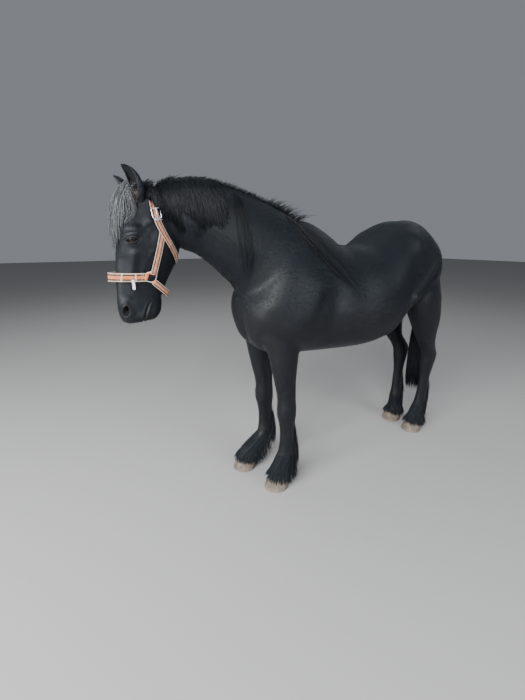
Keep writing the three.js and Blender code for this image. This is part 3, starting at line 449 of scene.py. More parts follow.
# The skin: lengths of flesh fused by a remesh, fine on the head and coarser behind, sewn together
# across the neck, and then lifted into muscles and folds.
skinSizes = {"coat": 3, "headVoxel": 4.4, "bodyVoxel": 11.6, "seam": ([-1080, 0, 1424], [-1005, 0, 1757]), "strip": 5}


def fusedFlesh(name, lengths, voxel, smoothing):
    points, faces, _ = joined([(rings, False) for rings in lengths])
    made = objectFrom(name, meshFrom(name, points, faces))
    remesh = made.modifiers.new("fuse", "REMESH")
    remesh.mode = "VOXEL"
    remesh.voxel_size = voxel / 1000
    relax = made.modifiers.new("relax", "SMOOTH")
    relax.factor, relax.iterations = 0.5, smoothing
    return applyAll(made)


def cutAcross(made, point, normal):
    with editing(made.data) as work:
        geometry = work.verts[:] + work.edges[:] + work.faces[:]
        bmesh.ops.bisect_plane(work, geom=geometry, plane_co=point, plane_no=normal, clear_outer=True)


# The remesh rounds thin legs off, so their points go back out to the sections.
def restored(points, legRings):
    for rings in legRings:
        tree = BVHTree.FromPolygons(rings.reshape(-1, 3).tolist(), tubeFaces(*rings.shape[:2]))
        beside = np.abs(points[:, 1] - rings[..., 1].mean()) < 110
        sameEnd = (points[:, 0] < 0) == (rings[..., 0].mean() < 0)
        for index in np.nonzero((points[:, 2] < 900) & beside & sameEnd)[0]:
            near = tree.find_nearest(Vector(points[index]), 16)[0]
            if near is not None:
                share = 1 - min(1, max(0, (points[index][2] - 740) / 150))
                points[index] += (np.array(near) - points[index]) * share
    return points


# Each length's sections, the rings from one section to the next, and the points of a ring
fleshParts = {
    "torso": (torsoSections, 5, 96), "neck": (neckSections, 6, 88), "head": (headSections, 8, 96),
    "dock": (dockSections, 4, 32),
}


def legRingsOf(leg):
    return ringsOf(foreLegSections if leg["fore"] else hindLegSections, 5, 48, skinSizes["coat"], leg)


def makeSkin():
    charts = {name: ringsOf(*part, skinSizes["coat"]) for name, part in fleshParts.items()}
    legRings = {name: legRingsOf(leg) for name, leg in legs.items()}
    lengths = [charts["torso"], charts["neck"], charts["dock"], *legRings.values()]
    behind = fusedFlesh("skin", lengths, skinSizes["bodyVoxel"], 7)
    front = fusedFlesh("skinFront", [charts["neck"], charts["head"]], skinSizes["headVoxel"], 5)
    low, high = (np.array(p, float) for p in skinSizes["seam"])
    normal = Vector(high - low).normalized().cross(Vector((0, 1, 0)))
    if normal.x < 0:
        normal.negate()
    middle = Vector(placeOf(low))
    strip = skinSizes["strip"] / 1000
    cutAcross(front, middle - normal * strip, normal)
    cutAcross(behind, middle + normal * strip, -normal)
    with editing(behind.data, front.data) as work:
        bmesh.ops.bridge_loops(work, edges=[edge for edge in work.edges if edge.is_boundary])
        near = [v for v in work.verts if abs((v.co - middle).dot(normal)) < 4 * strip]
        for _ in range(6):
            bmesh.ops.smooth_vert(work, verts=near, factor=0.5, use_axis_x=True, use_axis_y=True, use_axis_z=True)
        bmesh.ops.recalc_face_normals(work, faces=work.faces[:])
    bpy.data.objects.remove(front)
    mesh = behind.data
    points = restored(pointsOf(mesh), legRings.values())
    setPoints(mesh, points)
    for forms in (skinForms, faceForms):
        points += normalsOf(mesh) * liftFrom(points, forms)[:, None]
        setPoints(mesh, points)
    setSmooth(mesh)
    return behind, {**charts, **legRings}


skin, fleshCharts = makeSkin()
print("skin:", len(skin.data.polygons), "faces")

# Places on an unwrap of the skin: each length of flesh is unrolled into a rectangle of its own.
chartPlaces = {
    "torso": (0.01, 0.5, 0.6, 0.48),
    "neck": (0.63, 0.5, 0.36, 0.3),
    "head": (0.63, 0.82, 0.36, 0.17),
    "dock": (0.01, 0.4, 0.2, 0.08),
    **{name: (x, 0.01, 0.22, 0.36) for name, x in zip(legs, (0.01, 0.25, 0.49, 0.73))},
}


def makeUnroll():
    spots, points, names = [], [], []
    for name, rings in fleshCharts.items():
        x, y, width, height = chartPlaces[name]
        count, sides = rings.shape[:2]
        u = x + width * (np.arange(sides) / sides)[None] + np.zeros((count, 1))
        v = y + height * (np.arange(count) / (count - 1))[:, None] + np.zeros((1, sides))
        spots.append(np.stack([u, v], -1).reshape(-1, 2))
        points.append(rings.reshape(-1, 3))
        names += [name] * (count * sides)
    points = np.concatenate(points)
    tree = KDTree(len(points))
    for i, point in enumerate(points):
        tree.insert(point, i)
    tree.balance()
    return tree, np.concatenate(spots), np.array(names)


unrollTree, unrollSpots, unrollNames = makeUnroll()


def spotsOf(points):
    nearest = np.array([unrollTree.find(point)[1] for point in points])
    return unrollSpots[nearest], unrollNames[nearest]


# Where the skin lies, seen from above and from each side
skinPoints = pointsOf(skin.data)
skinTree = BVHTree.FromPolygons(skinPoints.tolist(), [tuple(p.vertices) for p in skin.data.polygons])


def castOn(origin, direction, fallback=None):
    hit = skinTree.ray_cast(Vector(origin), Vector(direction))[0]
    return fallback if hit is None else hit


class Relief:
    def __init__(self, axis, first, second, cast):
        self.first, self.second = np.array(first, float), np.array(second, float)
        firsts = np.arange(first[0], first[1] + first[2], first[2])
        seconds = np.arange(second[0], second[1] + second[2], second[2])
        self.values = np.full((len(firsts), len(seconds)), np.nan)
        for i, a in enumerate(firsts):
            for j, b in enumerate(seconds):
                hit = castOn(*cast(a, b))
                if hit is not None:
                    self.values[i, j] = hit[axis]

    def at(self, a, b):
        i = np.clip((a - self.first[0]) / self.first[2], 0, self.values.shape[0] - 1.001)
        j = np.clip((b - self.second[0]) / self.second[2], 0, self.values.shape[1] - 1.001)
        i0, j0 = i.astype(int), j.astype(int)
        s, t = i - i0, j - j0
        low = self.values[i0, j0] * (1 - t) + self.values[i0, j0 + 1] * t
        high = self.values[i0 + 1, j0] * (1 - t) + self.values[i0 + 1, j0 + 1] * t
        return low * (1 - s) + high * s


sideRelief = {
    side: Relief(1, (-1340, -180, 10), (1060, 1800, 10), lambda x, z, side=side: ((x, side * 900, z), (0, -side, 0)))
    for side in (left, right)
}
faceRelief = Relief(0, (-120, 120, 6), (1120, 1730, 8), lambda y, z: ((-1900, y, z), (1, 0, 0)))
topRelief = Relief(2, (-1330, 720, 10), (-60, 60, 10), lambda x, y: ((x, y, 2400), (0, 0, -1)))
underRelief = Relief(2, (-1330, 720, 10), (-60, 60, 10), lambda x, y: ((x, y, 0), (0, 0, 1)))
print("reliefs cast")

# A place on one side of the face with the directions out of it, across it and up it
def faceAxes(centre, side, out, across):
    f = unit(np.array([out[0], side * out[1], out[2]], float))
    a = np.array([across[0], side * across[1], across[2]], float)
    a = unit(a - f * (a @ f))
    b = np.cross(f, a)
    return np.array(centre, float) * (1, side, 1), f, a, b if b[2] > 0 else -b


def placed(axes, across, up, out):
    centre, f, a, b = axes
    return centre + across[..., None] * a + up[..., None] * b + out[..., None] * f


# How high the skin lies over the plane of the axes, at places across and up it
def skinHeights(axes, across, up):
    f = axes[1]
    starts = placed(axes, across, up, np.zeros(across.shape))
    heights = np.empty(across.shape)
    for index in np.ndindex(across.shape):
        hit = castOn(starts[index] + f * 70, -f)
        heights[index] = (np.array(hit) - starts[index]) @ f if hit is not None else 0
    return heights


eyeLook = {
    "radius": 23, "sunk": 3, "halfWidth": 21, "upper": 7.2, "lower": 10.4, "around": 72,
    "out": (-0.3, 0.94, -0.12), "across": (0.94, 0.28, 0.22),
}


def eyeAxes(side):
    centre, f, a, b = faceAxes((eyeball["x"], eyeball["y"], eyeball["z"]), side, eyeLook["out"], eyeLook["across"])
    return centre - f * eyeLook["sunk"], f, a, b


# Lids: round the eye each section runs from inside the lid over its edge, the bulge on the
# eyeball, the crease and the fold beyond it, out to the skin of the face and back underneath.
def lidSections(side):
    axes = eyeAxes(side)
    angle = turns(eyeLook["around"])
    c, s = np.cos(angle), np.sin(angle)
    upper = s > 0
    edgeA = eyeLook["halfWidth"] * c
    edgeB = np.where(upper, eyeLook["upper"] * s, eyeLook["lower"] * s) * (1 - 0.15 * c * c) - 2.5 * c * (c < 0)
    # beyond the edge, the ball's radius there, how far it follows the skin, and its lift over it
    rows = [
        (1.5, 19.5, 0, 0, 0), (0, 23.25, 0, 0, 0), (0.7, 25.2, 0, 0, 0), (2.4, 26.6, 0, 0, 0),
        (5, 27.2, 0.2, 5, 4), (7.4, 27, 0.45, 3.2, 2.6), (9, 26.5, 0.6, 1, 0.6), (11, 27, 0.75, 4.2, 2.2),
        (13.5, 27, 0.85, 4.6, 2), (17, 27, 0.93, 2.8, 1.2), (22, 27, 1, 0.7, 0.5), (28, 27, 1, -1.8, -1.8),
        (20, 27, 1, -7, -7), (9, 20, 0, 0, 0),
    ]
    points = []
    for beyond, radius, follow, liftUpper, liftLower in rows:
        pa, pb = edgeA + beyond * c * 1.05, edgeB + beyond * s
        onBall = np.sqrt(np.maximum(radius**2 - pa**2 * 0.8 - pb**2 * 0.9, 20))
        onSkin = skinHeights(axes, pa, pb) if follow else 0
        lift = np.where(upper, liftUpper, liftLower) * (0.35 + 0.65 * np.abs(s)) if liftUpper > 0 else liftUpper
        points.append(placed(axes, pa, pb, onBall * (1 - follow) + (onSkin + lift) * follow))
    return np.stack(points, 1), axes


nostrilLook = {
    "place": (-1426, 40, 1182), "halfWidth": 15, "halfHeight": 23.5, "around": 64,
    "out": (-0.56, 0.82, -0.04), "across": (0.8, 0.5, 0.1),
}


# Nostrils: from the bottom of the pit up its wall, over the rim, out to the skin, and back below.
def nostrilSections(side):
    axes = faceAxes(nostrilLook["place"], side, nostrilLook["out"], nostrilLook["across"])
    centre, f, a, b = axes
    axes = (centre + f * float(skinHeights(axes, np.zeros(1), np.zeros(1))[0]), f, a, b)
    angle = turns(nostrilLook["around"])
    c, s = np.cos(angle), np.sin(angle)
    edgeB = nostrilLook["halfHeight"] * s
    edgeA = nostrilLook["halfWidth"] * c * (1 - 0.3 * s) + 7 * s * np.abs(s)
    rim = 2.2 + 3.6 * np.clip(-c, 0, 1) + 1.6 * np.clip(s, 0, 1)
    rows = [
        (0.06, 0, -34), (0.4, 0, -27), (0.7, 0, -17), (0.9, 0, -8), (0.98, 0, -2.5), (1, 0.6, 0.75), (1, 2.2, 1),
        (1, 4.6, 0.92), (1, 8, 0.6), (1, 12, 0.3), (1, 17, 0.1), (1, 23, -1.8), (1, 15, -6), (0.9, 0, -14),
        (0.5, 0, -29), (0.06, 0, -36),
    ]
    points = []
    for scale, beyond, level in rows:
        deep = max(0, -level) if level < -2 and scale < 1 else 0
        pa, pb = edgeA * scale + beyond * c + deep * 0.25, edgeB * scale + beyond * s + deep * 0.2
        onSkin = skinHeights(axes, pa, pb) if beyond else 0
        height = onSkin + (rim * level if 0 < level <= 1 else level)
        points.append(placed(axes, pa, pb, height + 0 * pa))
    return np.stack(points, 1), axes


# Along an ear from its foot to its tip: its share of the full width, how far round it is rolled,
# and how much narrower its foot is
earSizes = {
    "width": 36, "depth": 21, "wall": 3.2, "rings": 26, "sides": 30,
    "share": {0: 0.86, 0.12: 0.84, 0.3: 1, 0.45: 1.06, 0.6: 0.98, 0.75: 0.78, 0.88: 0.5, 0.96: 0.24, 1: 0.05},
    "rolled": {0: 2.95, 0.2: 2.75, 0.45: 2.2, 0.8: 1.75, 1: 1.5}, "foot": {0: 0.72, 0.25: 1},
}
earLines = {
    left: [[-1322, -50, 1622], [-1316, -82, 1738], [-1386, -60, 1775]],
    right: [[-1330, 50, 1616], [-1330, 82, 1720], [-1402, 62, 1751]],
}


# Ears: a leaf rolled into a cup that opens forwards, closed to a tube at its foot.
def earSections(side):
    count, sides = earSizes["rings"], earSizes["sides"]
    t = np.linspace(0, 1, count)[:, None]
    start, knee, tip = (np.array(p, float) for p in earLines[side])
    middle = start * (1 - t) ** 2 + knee * 2 * t * (1 - t) + tip * t**2
    along = unit((knee - start) * (1 - t) + (tip - knee) * t)
    facing = unit(np.array([-0.88, side * 0.44, -0.2]))
    across = unit(np.cross(along, facing)) * side
    out = unit(facing - along * (along @ facing)[:, None])
    share, rolled, foot = (between(t[:, 0], earSizes[key]) for key in ("share", "rolled", "foot"))
    width, depth = earSizes["width"] * share * foot, earSizes["depth"] * share
    wall = np.minimum(earSizes["wall"], share * 6)
    turn = np.linspace(-1, 1, sides)[None] * rolled[:, None]
    ring = lambda w, d: (
        middle[:, None]
        + across[:, None] * (w[:, None] * np.sin(turn) * (1 - 0.12 * np.abs(turn) / 2))[..., None]
        - out[:, None] * (d[:, None] * np.cos(turn) - 0.3 * d[:, None])[..., None]
    )
    outer, inner = ring(width, depth), ring(width - wall, depth - wall)[:, ::-1]
    inner[0], inner[-1] = (outer[0][::-1] + inner[0]) / 2, outer[-1][::-1] * 0.7 + inner[-1] * 0.3
    return np.concatenate([outer, inner], 1)


def addPart(mesh, points, faces, bare):
    made = meshFrom("part", points, faces)
    setField(made, "bare", bare)
    with editing(mesh, made):
        pass
    bpy.data.meshes.remove(made)


# The mouth: a line pressed in between swollen lips. Bare is how little coat there is.
def pressMouth(mesh, points):
    s = np.linspace(0, 1, 60)[:, None]
    corners = np.array([[-1366, 1088], [-1352, 1160], [-1320, 1218]])
    line = corners[0] * (1 - s) ** 2 + corners[1] * 2 * s * (1 - s) + corners[2] * s**2
    low = points[:, 2] < 1260
    gap = np.full(len(points), 99.0)
    gap[low] = np.sqrt(((points[low][:, None, [0, 2]] - line[None]) ** 2).sum(-1)).min(1)
    fade = 1 - smoothstep(points[:, 2], 1196, 1224)
    lips = 2.4 * np.exp(-(((gap - 9) / 6) ** 2)) - 5.5 * np.exp(-((gap / 3.2) ** 2))
    points += normalsOf(mesh) * (lips * fade)[:, None]
    setPoints(mesh, points)
    muzzle = 0.35 * (1 - smoothstep(points[:, 2], 1120, 1185)) * low
    setField(mesh, "bare", 0.75 * np.exp(-((gap / 7) ** 2)) * fade + muzzle)


# How bare each section of a lid and a nostril is, and the half width, half height and depth of the
# dent that makes room for it
faceParts = (
    ([0.7, 0.8, 0.8, 0.6, 0.4, 0.3, 0.3, 0.2, 0.1, 0, 0, 0, 0, 0], 37, 27, 20),
    ([1, 1, 1, 0.95, 0.9, 0.8, 0.7, 0.5, 0.35, 0.2, 0.1, 0, 0, 0, 1, 1], 28, 37, 36),
)


def makeFace():
    mesh = skin.data
    parts, lidFrames = [], {}
    points = pointsOf(mesh)
    for side in (left, right):
        lidFrames[side] = lidSections(side)
        sections = (lidFrames[side], nostrilSections(side))
        for (rings, axes), (bare, halfWidth, halfHeight, depth) in zip(sections, faceParts):
            parts.append((rings, np.tile(bare, len(rings)), side == left))
            local = points - axes[0]
            r = np.hypot(local @ axes[2] / halfWidth, local @ axes[3] / halfHeight)
            near = np.abs(local @ axes[1]) < 45
            points -= np.outer(depth * (1 - smoothstep(r, 0.68, 1)) * near, axes[1])
    pressMouth(mesh, points)
    for rings, bare, flip in parts:
        faces = tubeFaces(*rings.shape[:2], closed=True)
        addPart(mesh, rings.reshape(-1, 3), [face[::-1] for face in faces] if flip else faces, bare)
    for side in (left, right):
        rings = earSections(side)
        half = rings.shape[1] // 2
        faces = [face[::-1] for face in tubeFaces(*rings.shape[:2])]
        addPart(mesh, rings.reshape(-1, 3), faces, np.tile([0.0] * half + [0.5] * half, len(rings)))
    setSmooth(mesh)
    outwardFacing(skin)
    return lidFrames


lidFrames = makeFace()
print("face made:", len(skin.data.polygons), "faces")


# Adds a node. What an input is given is a value, or the socket that feeds it.
def newNode(tree, kind, inputs=None, **settings):
    node = tree.nodes.new(kind)
    for key, value in settings.items():
        setattr(node, key, value)
    for key, value in (inputs or {}).items():
        socket = node.inputs[key]
        if isinstance(value, bpy.types.NodeSocket):
            tree.links.new(value, socket)
        else:
            socket.default_value = (*value, 1) if socket.type == "RGBA" else value
    return node


def maths(tree, operation, first, second=0):
    return newNode(tree, "ShaderNodeMath", {0: first, 1: second}, operation=operation).outputs[0]


def times(tree, first, second):
    return maths(tree, "MULTIPLY", first, second)


def vectors(tree, operation, inputs, output=0):
    return newNode(tree, "ShaderNodeVectorMath", inputs, operation=operation).outputs[output]


def mixColours(tree, factor, first, second):
    return newNode(tree, "ShaderNodeMix", {0: factor, 6: first, 7: second}, data_type="RGBA").outputs[2]


def ramp(tree, value, low, high, toLow=0, toHigh=1):
    inputs = dict(enumerate((value, low, high, toLow, toHigh)))
    return newNode(tree, "ShaderNodeMapRange", inputs, interpolation_type="SMOOTHSTEP").outputs[0]


def noise(tree, vector, scale, detail=2, roughness=0.5):
    inputs = {"Vector": vector, "Scale": scale, "Detail": detail, "Roughness": roughness}
    return newNode(tree, "ShaderNodeTexNoise", inputs).outputs[0]


def attribute(tree, name, output="Fac"):
    return newNode(tree, "ShaderNodeAttribute", attribute_name=name).outputs[output]


def stretched(tree, place, scale):
    return newNode(tree, "ShaderNodeMapping", {"Vector": place, "Scale": scale}).outputs[0]


def heightOf(tree, place):
    return newNode(tree, "ShaderNodeSeparateXYZ", {0: place}).outputs[2]


# A new material with its tree, its shader and a place on the object
def shaderOf(name, colour, roughness, **inputs):
    material = bpy.data.materials.new(name)
    material.use_nodes = True
    tree = material.node_tree
    shader = tree.nodes["Principled BSDF"]
    shader.inputs["Base Color"].default_value = (*colour, 1)
    shader.inputs["Roughness"].default_value = roughness
    for key, value in inputs.items():
        shader.inputs[key.replace("_", " ")].default_value = value
    return material, tree, shader, newNode(tree, "ShaderNodeTexCoord").outputs["Object"]


def dress(tree, shader, colour, roughness, height, distance, strength):
    relief = newNode(tree, "ShaderNodeBump", {"Height": height, "Distance": distance, "Strength": strength})
    for key, source in (("Base Color", colour), ("Roughness", roughness), ("Normal", relief.outputs[0])):
        tree.links.new(source, shader.inputs[key])


coatLook = {
    # streak: the lighter bluish colour of painted sheen along the lie
    "colour": (0.0032, 0.0044, 0.006), "faded": (0.0085, 0.0082, 0.008), "streak": (0.0085, 0.0105, 0.0135),
    "dust": (0.06, 0.052, 0.044), "bare": (0.009, 0.0088, 0.0095), "roughness": 0.42, "specular": 0.17,
    "sheen": 0.04, "tint": (0.38, 0.5, 0.62, 1),
}


# The short coat: fine hair along the lie, lighter bluish streaks along it that are painted sheen, faded
# patches, dust low down, bare skin at lids, nostrils and lips.
def coatFinish():
    look = coatLook
    material, tree, shader, place = shaderOf(
        "coat", look["colour"], look["roughness"], Sheen_Weight=look["sheen"], Sheen_Roughness=0.3,
        Sheen_Tint=look["tint"], Specular_IOR_Level=look["specular"],
    )
    lie, bare = attribute(tree, "lie", "Vector"), attribute(tree, "bare")
    along = vectors(tree, "DOT_PRODUCT", {0: place, 1: lie}, "Value")
    back = vectors(tree, "SCALE", {0: lie, "Scale": times(tree, along, 0.9)})
    across = vectors(tree, "SUBTRACT", {0: place, 1: back})
    fine, broad = noise(tree, across, 620, 3, 0.6), noise(tree, across, 70, 3)
    low = ramp(tree, heightOf(tree, place), 0.42, 0.02)
    dusty = times(tree, low, ramp(tree, noise(tree, place, 14, 4), 0.42, 0.72))
    faded = times(tree, ramp(tree, noise(tree, place, 3.2, 3), 0.52, 0.75), 0.5)
    colour = mixColours(tree, faded, look["colour"], look["faded"])
    # Lighter bluish streaks along the lie: painted sheen
    colour = mixColours(tree, times(tree, ramp(tree, broad, 0.4, 0.7), 0.35), colour, look["streak"])
    colour = mixColours(tree, times(tree, dusty, 0.55), colour, look["dust"])
    colour = mixColours(tree, bare, colour, look["bare"])
    rough = maths(tree, "ADD", ramp(tree, broad, 0.3, 0.7, 0.38, 0.52), times(tree, bare, -0.06))
    dress(tree, shader, colour, rough, maths(tree, "ADD", fine, times(tree, broad, 0.7)), 0.0009, 0.6)
    return material


hairLooks = {
    "longHair": {"dark": (0.0025, 0.0028, 0.0035), "light": (0.005, 0.0068, 0.009), "sheen": 0.02, "roughness": 0.42},
    # The forelock's grey light tone is partly sun-bleached hair and partly painted sheen
    "foreHair": {"dark": (0.012, 0.013, 0.015), "light": (0.2, 0.205, 0.21), "sheen": 0.1, "roughness": 0.42},
    "featherHair": {"dark": (0.004, 0.0052, 0.007), "light": (0.009, 0.0118, 0.0155), "sheen": 0.04, "roughness": 0.5},
    # The pale beige light tone of the ears' inner hair is partly its own colour and partly painted sunlight
    "earHair": {"dark": (0.035, 0.028, 0.024), "light": (0.2, 0.165, 0.14), "sheen": 0.1, "roughness": 0.55},
}


def hairFinish(name):
    look = hairLooks[name]
    material, tree, shader, place = shaderOf(
        name, look["dark"], look["roughness"], Sheen_Weight=look["sheen"], Sheen_Roughness=0.4,
        Sheen_Tint=coatLook["tint"], Specular_IOR_Level=coatLook["specular"],
    )
    fine = noise(tree, stretched(tree, place, (1, 1, 0.08)), 900, 2)
    tone = maths(tree, "POWER", attribute(tree, "tone"), 2.2)
    colour = mixColours(tree, tone, look["dark"], look["light"])
    colour = mixColours(tree, times(tree, ramp(tree, fine, 0.45, 0.75), 0.5), colour, look["light"])
    rough = ramp(tree, fine, 0.3, 0.7, look["roughness"] - 0.08, look["roughness"] + 0.12)
    dress(tree, shader, colour, rough, fine, 0.0006, 0.6)
    return material


coatMaterial = coatFinish()
hairMaterial, forelockMaterial, featherMaterial, earMaterial = (hairFinish(name) for name in hairLooks)
skin.data.materials.append(coatMaterial)


# The lie of the coat, its length and how densely its tufts show, for every point of the skin
def describeSkin():
    mesh = skin.data
    points, normals = pointsOf(mesh), normalsOf(mesh)
    x, y, z = points.T
    face = smoothstep(-x, 1180, 1290) * (1 - smoothstep(z, 1590, 1680))
    leg = 1 - smoothstep(z, 780, 1020)
    neck = smoothstep(-x, 600, 900) * (1 - face)
    lie = np.array([1, 0, -0.3]) + 0 * points
    lie += neck[:, None] * np.array([-0.25, 0, -0.45])
    lie = lie * (1 - face)[:, None] + face[:, None] * np.array([0.08, 0, -1])
    lie = lie * (1 - leg)[:, None] + leg[:, None] * np.array([0.1, 0, -1])
    lie -= normals * (lie * normals).sum(1)[:, None]
    lie = unit(lie)
    muzzle = face * (1 - smoothstep(z, 1190, 1300))
    ear = (z > 1655) & (x < -1290) & (np.abs(y) > 42)
    length = 11 + 5 * neck * smoothstep(z, 1600, 1700) - 2 * leg - 5.5 * face - 1.5 * muzzle
    length += 4 * smoothstep(-normals[:, 2], 0.3, 0.9) * (1 - leg) * (1 - face)
    bare = np.empty(len(points), np.float32)
    mesh.attributes["bare"].data.foreach_get("value", bare)
    share = np.clip(1 - 1.6 * bare, 0, 1)
    upEar = np.array([-0.2, 0, 1])
    lie = np.where(ear[:, None], unit(upEar - normals * (normals @ upEar)[:, None]), lie)
    spots, _ = spotsOf(points)
    setField(mesh, "lie", lie)
    setField(mesh, "spot", np.concatenate([spots, 0 * spots[:, :1]], 1))
    setField(mesh, "length", np.where(ear, 6, length))
    setField(mesh, "share", share)
    regions = np.where(x < -1150, 0, np.where(z < 800, 3, np.where(x < -640, 1, np.where(x < 180, 2, 4))))
    return share, regions


skinShare, skinRegions = describeSkin()
print("skin described")

# Tufts of the short coat: one thin blade, scattered over the skin by Geometry Nodes
tuftLook = {"width": 0.13, "thick": 0.04, "lean": (0.05, 0.2), "size": (0.6, 1.3), "sway": 0.1, "spot": 0.003}
tuftDensities = {"coatHead": 36000, "coatNeck": 15500, "coatBarrel": 9800, "coatLegs": 17000, "coatRump": 9800}


def tuftBlade():
    w, h = tuftLook["width"] / 2, tuftLook["thick"]
    points = [(w, 0, 0), (-w, 0, 0), (0, h, 0), (w * 0.85, 0, 0.5), (-w * 0.85, 0, 0.5), (0, h, 0.5), (0, -0.01, 1)]
    faces = [(2, 1, 0), (0, 1, 4, 3), (1, 2, 5, 4), (2, 0, 3, 5), (3, 4, 6), (4, 5, 6), (5, 3, 6)]
    mesh = bpy.data.meshes.new("tuftBlade")
    mesh.from_pydata(points, [], faces)
    spread = [(0, 0, 0), (1, 0, 0), (0.5, 0, 0), (0, 0.5, 0), (1, 0.5, 0), (0.5, 0.5, 0), (0.5, 1, 0)]
    setField(mesh, "local", np.array(spread) * tuftLook["spot"])
    return bpy.data.objects.new("tuftBlade", mesh)


# A geometry tree with named inputs and one output, and the sockets that bring the inputs
def geometryTree(name, **kinds):
    tree = bpy.data.node_groups.new(name, "GeometryNodeTree")
    for label, kind in kinds.items():
        tree.interface.new_socket(label, in_out="INPUT", socket_type="NodeSocket" + kind)
    tree.interface.new_socket("Result", in_out="OUTPUT", socket_type="NodeSocketGeometry")
    return tree, newNode(tree, "NodeGroupInput").outputs


def geometryNode(tree, kind, inputs=None, **settings):
    return newNode(tree, "GeometryNode" + kind, inputs, **settings).outputs


# Repeats the shape at the points, as real geometry of one material.
def repeated(tree, points, shape, material, rotation, scale=None, spot=None):
    source = geometryNode(tree, "ObjectInfo", {"Object": shape})["Geometry"]
    scale = (1, 1, 1) if scale is None else scale
    inputs = {"Points": points, "Instance": source, "Rotation": rotation, "Scale": scale}
    made = geometryNode(tree, "RealizeInstances", {0: geometryNode(tree, "InstanceOnPoints", inputs)[0]})[0]
    if spot is not None:
        inputs = {0: made, "Name": "OFBake", "Value": spot()}
        made = geometryNode(tree, "StoreNamedAttribute", inputs, data_type="FLOAT2", domain="CORNER")[0]
    made = geometryNode(tree, "SetMaterial", {0: made, "Material": material})[0]
    newNode(tree, "NodeGroupOutput", {0: made})
    return tree


def scatterTree():
    tree, given = geometryTree(
        "tufts", Geometry="Geometry", Blade="Object", Density="Float", Seed="Int", Material="Material",
    )
    field = lambda name, kind: geometryNode(tree, "InputNamedAttribute", {"Name": name}, data_type=kind)["Attribute"]
    chance = lambda inputs, kind="FLOAT": newNode(tree, "FunctionNodeRandomValue", inputs, data_type=kind).outputs
    density = times(tree, field("share", "FLOAT"), given["Density"])
    inputs = {"Mesh": given["Geometry"], "Density": density, "Seed": given["Seed"]}
    scatter = geometryNode(tree, "DistributePointsOnFaces", inputs)
    (leastLean, mostLean), (leastSize, mostSize), sway = tuftLook["lean"], tuftLook["size"], tuftLook["sway"]
    lean = chance({2: leastLean, 3: mostLean, "Seed": 3})[1]
    size = chance({2: leastSize, 3: mostSize, "Seed": 4})[1]
    astray = chance({0: (-sway,) * 3, 1: (sway,) * 3, "Seed": 5}, "FLOAT_VECTOR")[0]
    stand = vectors(tree, "SCALE", {0: scatter["Normal"], "Scale": lean})
    toward = vectors(tree, "ADD", {0: field("lie", "FLOAT_VECTOR"), 1: stand})
    toward = vectors(tree, "ADD", {0: toward, 1: astray})
    align = "FunctionNodeAlignRotationToVector"
    point = newNode(tree, align, {"Vector": toward}, axis="Z").outputs[0]
    roll = newNode(tree, align, {"Rotation": point, "Vector": scatter["Normal"]}, axis="Y", pivot_axis="Z").outputs[0]
    reach = times(tree, times(tree, field("length", "FLOAT"), size), 0.001)
    spot = lambda: vectors(tree, "ADD", {0: field("spot", "FLOAT_VECTOR"), 1: field("local", "FLOAT_VECTOR")})
    return repeated(tree, scatter["Points"], given["Blade"], given["Material"], roll, reach, spot)


# Runs a geometry tree on the object and keeps the mesh that comes out.
def grow(made, tree, **inputs):
    modifier = made.modifiers.new(tree.name, "NODES")
    modifier.node_group = tree
    for item in tree.interface.items_tree:
        if item.in_out == "INPUT" and item.name in inputs:
            modifier[item.identifier] = inputs[item.name]
    return applyAll(made)


def makeCoat():
    tree, blade, pieces = scatterTree(), tuftBlade(), []
    for region, (name, density) in enumerate(tuftDensities.items()):
        mesh = skin.data.copy()
        mesh.attributes["share"].data.foreach_set("value", (skinShare * (skinRegions == region)).astype(np.float32))
        made = objectFrom(name, mesh)
        grow(made, tree, Blade=blade, Density=float(density), Seed=11 + region, Material=coatMaterial)
        for extra in ("spot", "local", "share", "length"):
            if extra in made.data.attributes:
                made.data.attributes.remove(made.data.attributes[extra])
        print(name, len(made.data.polygons) // 7, "tufts")
        pieces.append(made)
    bpy.data.objects.remove(blade)
    return pieces


coatPieces = makeCoat()
for leftOver in ("spot", "share", "length"):
    skin.data.attributes.remove(skin.data.attributes[leftOver])


# Attaches each piece to the body and hides the solids it stands for
def settle(made, slotName, *nodes):
    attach(made, body)
    if nodes:
        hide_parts(*nodes)


# Eyeballs: dark brown with a level pupil, the clear front standing a little proud
eyeColours = {
    "white": (0.008, 0.006, 0.005), "iris": (0.003, 0.002, 0.0015), "streak": (0.011, 0.006, 0.0035),
    "pupil": (0.0008, 0.0008, 0.001),
}


def eyeFinish():
    material, tree, shader, place = shaderOf(
        "eye", eyeColours["iris"], 0.2, Coat_Weight=0.3, Coat_Roughness=0.06, Specular_IOR_Level=0.2,
    )
    streaks = times(tree, noise(tree, place, 420, 3), 0.8)
    colour = mixColours(tree, streaks, eyeColours["iris"], eyeColours["streak"])
    colour = mixColours(tree, ramp(tree, attribute(tree, "iris"), 0.92, 1.05), colour, eyeColours["white"])
    colour = mixColours(tree, ramp(tree, attribute(tree, "pupil"), 0.9, 1.15), eyeColours["pupil"], colour)
    tree.links.new(colour, shader.inputs["Base Color"])
    return material


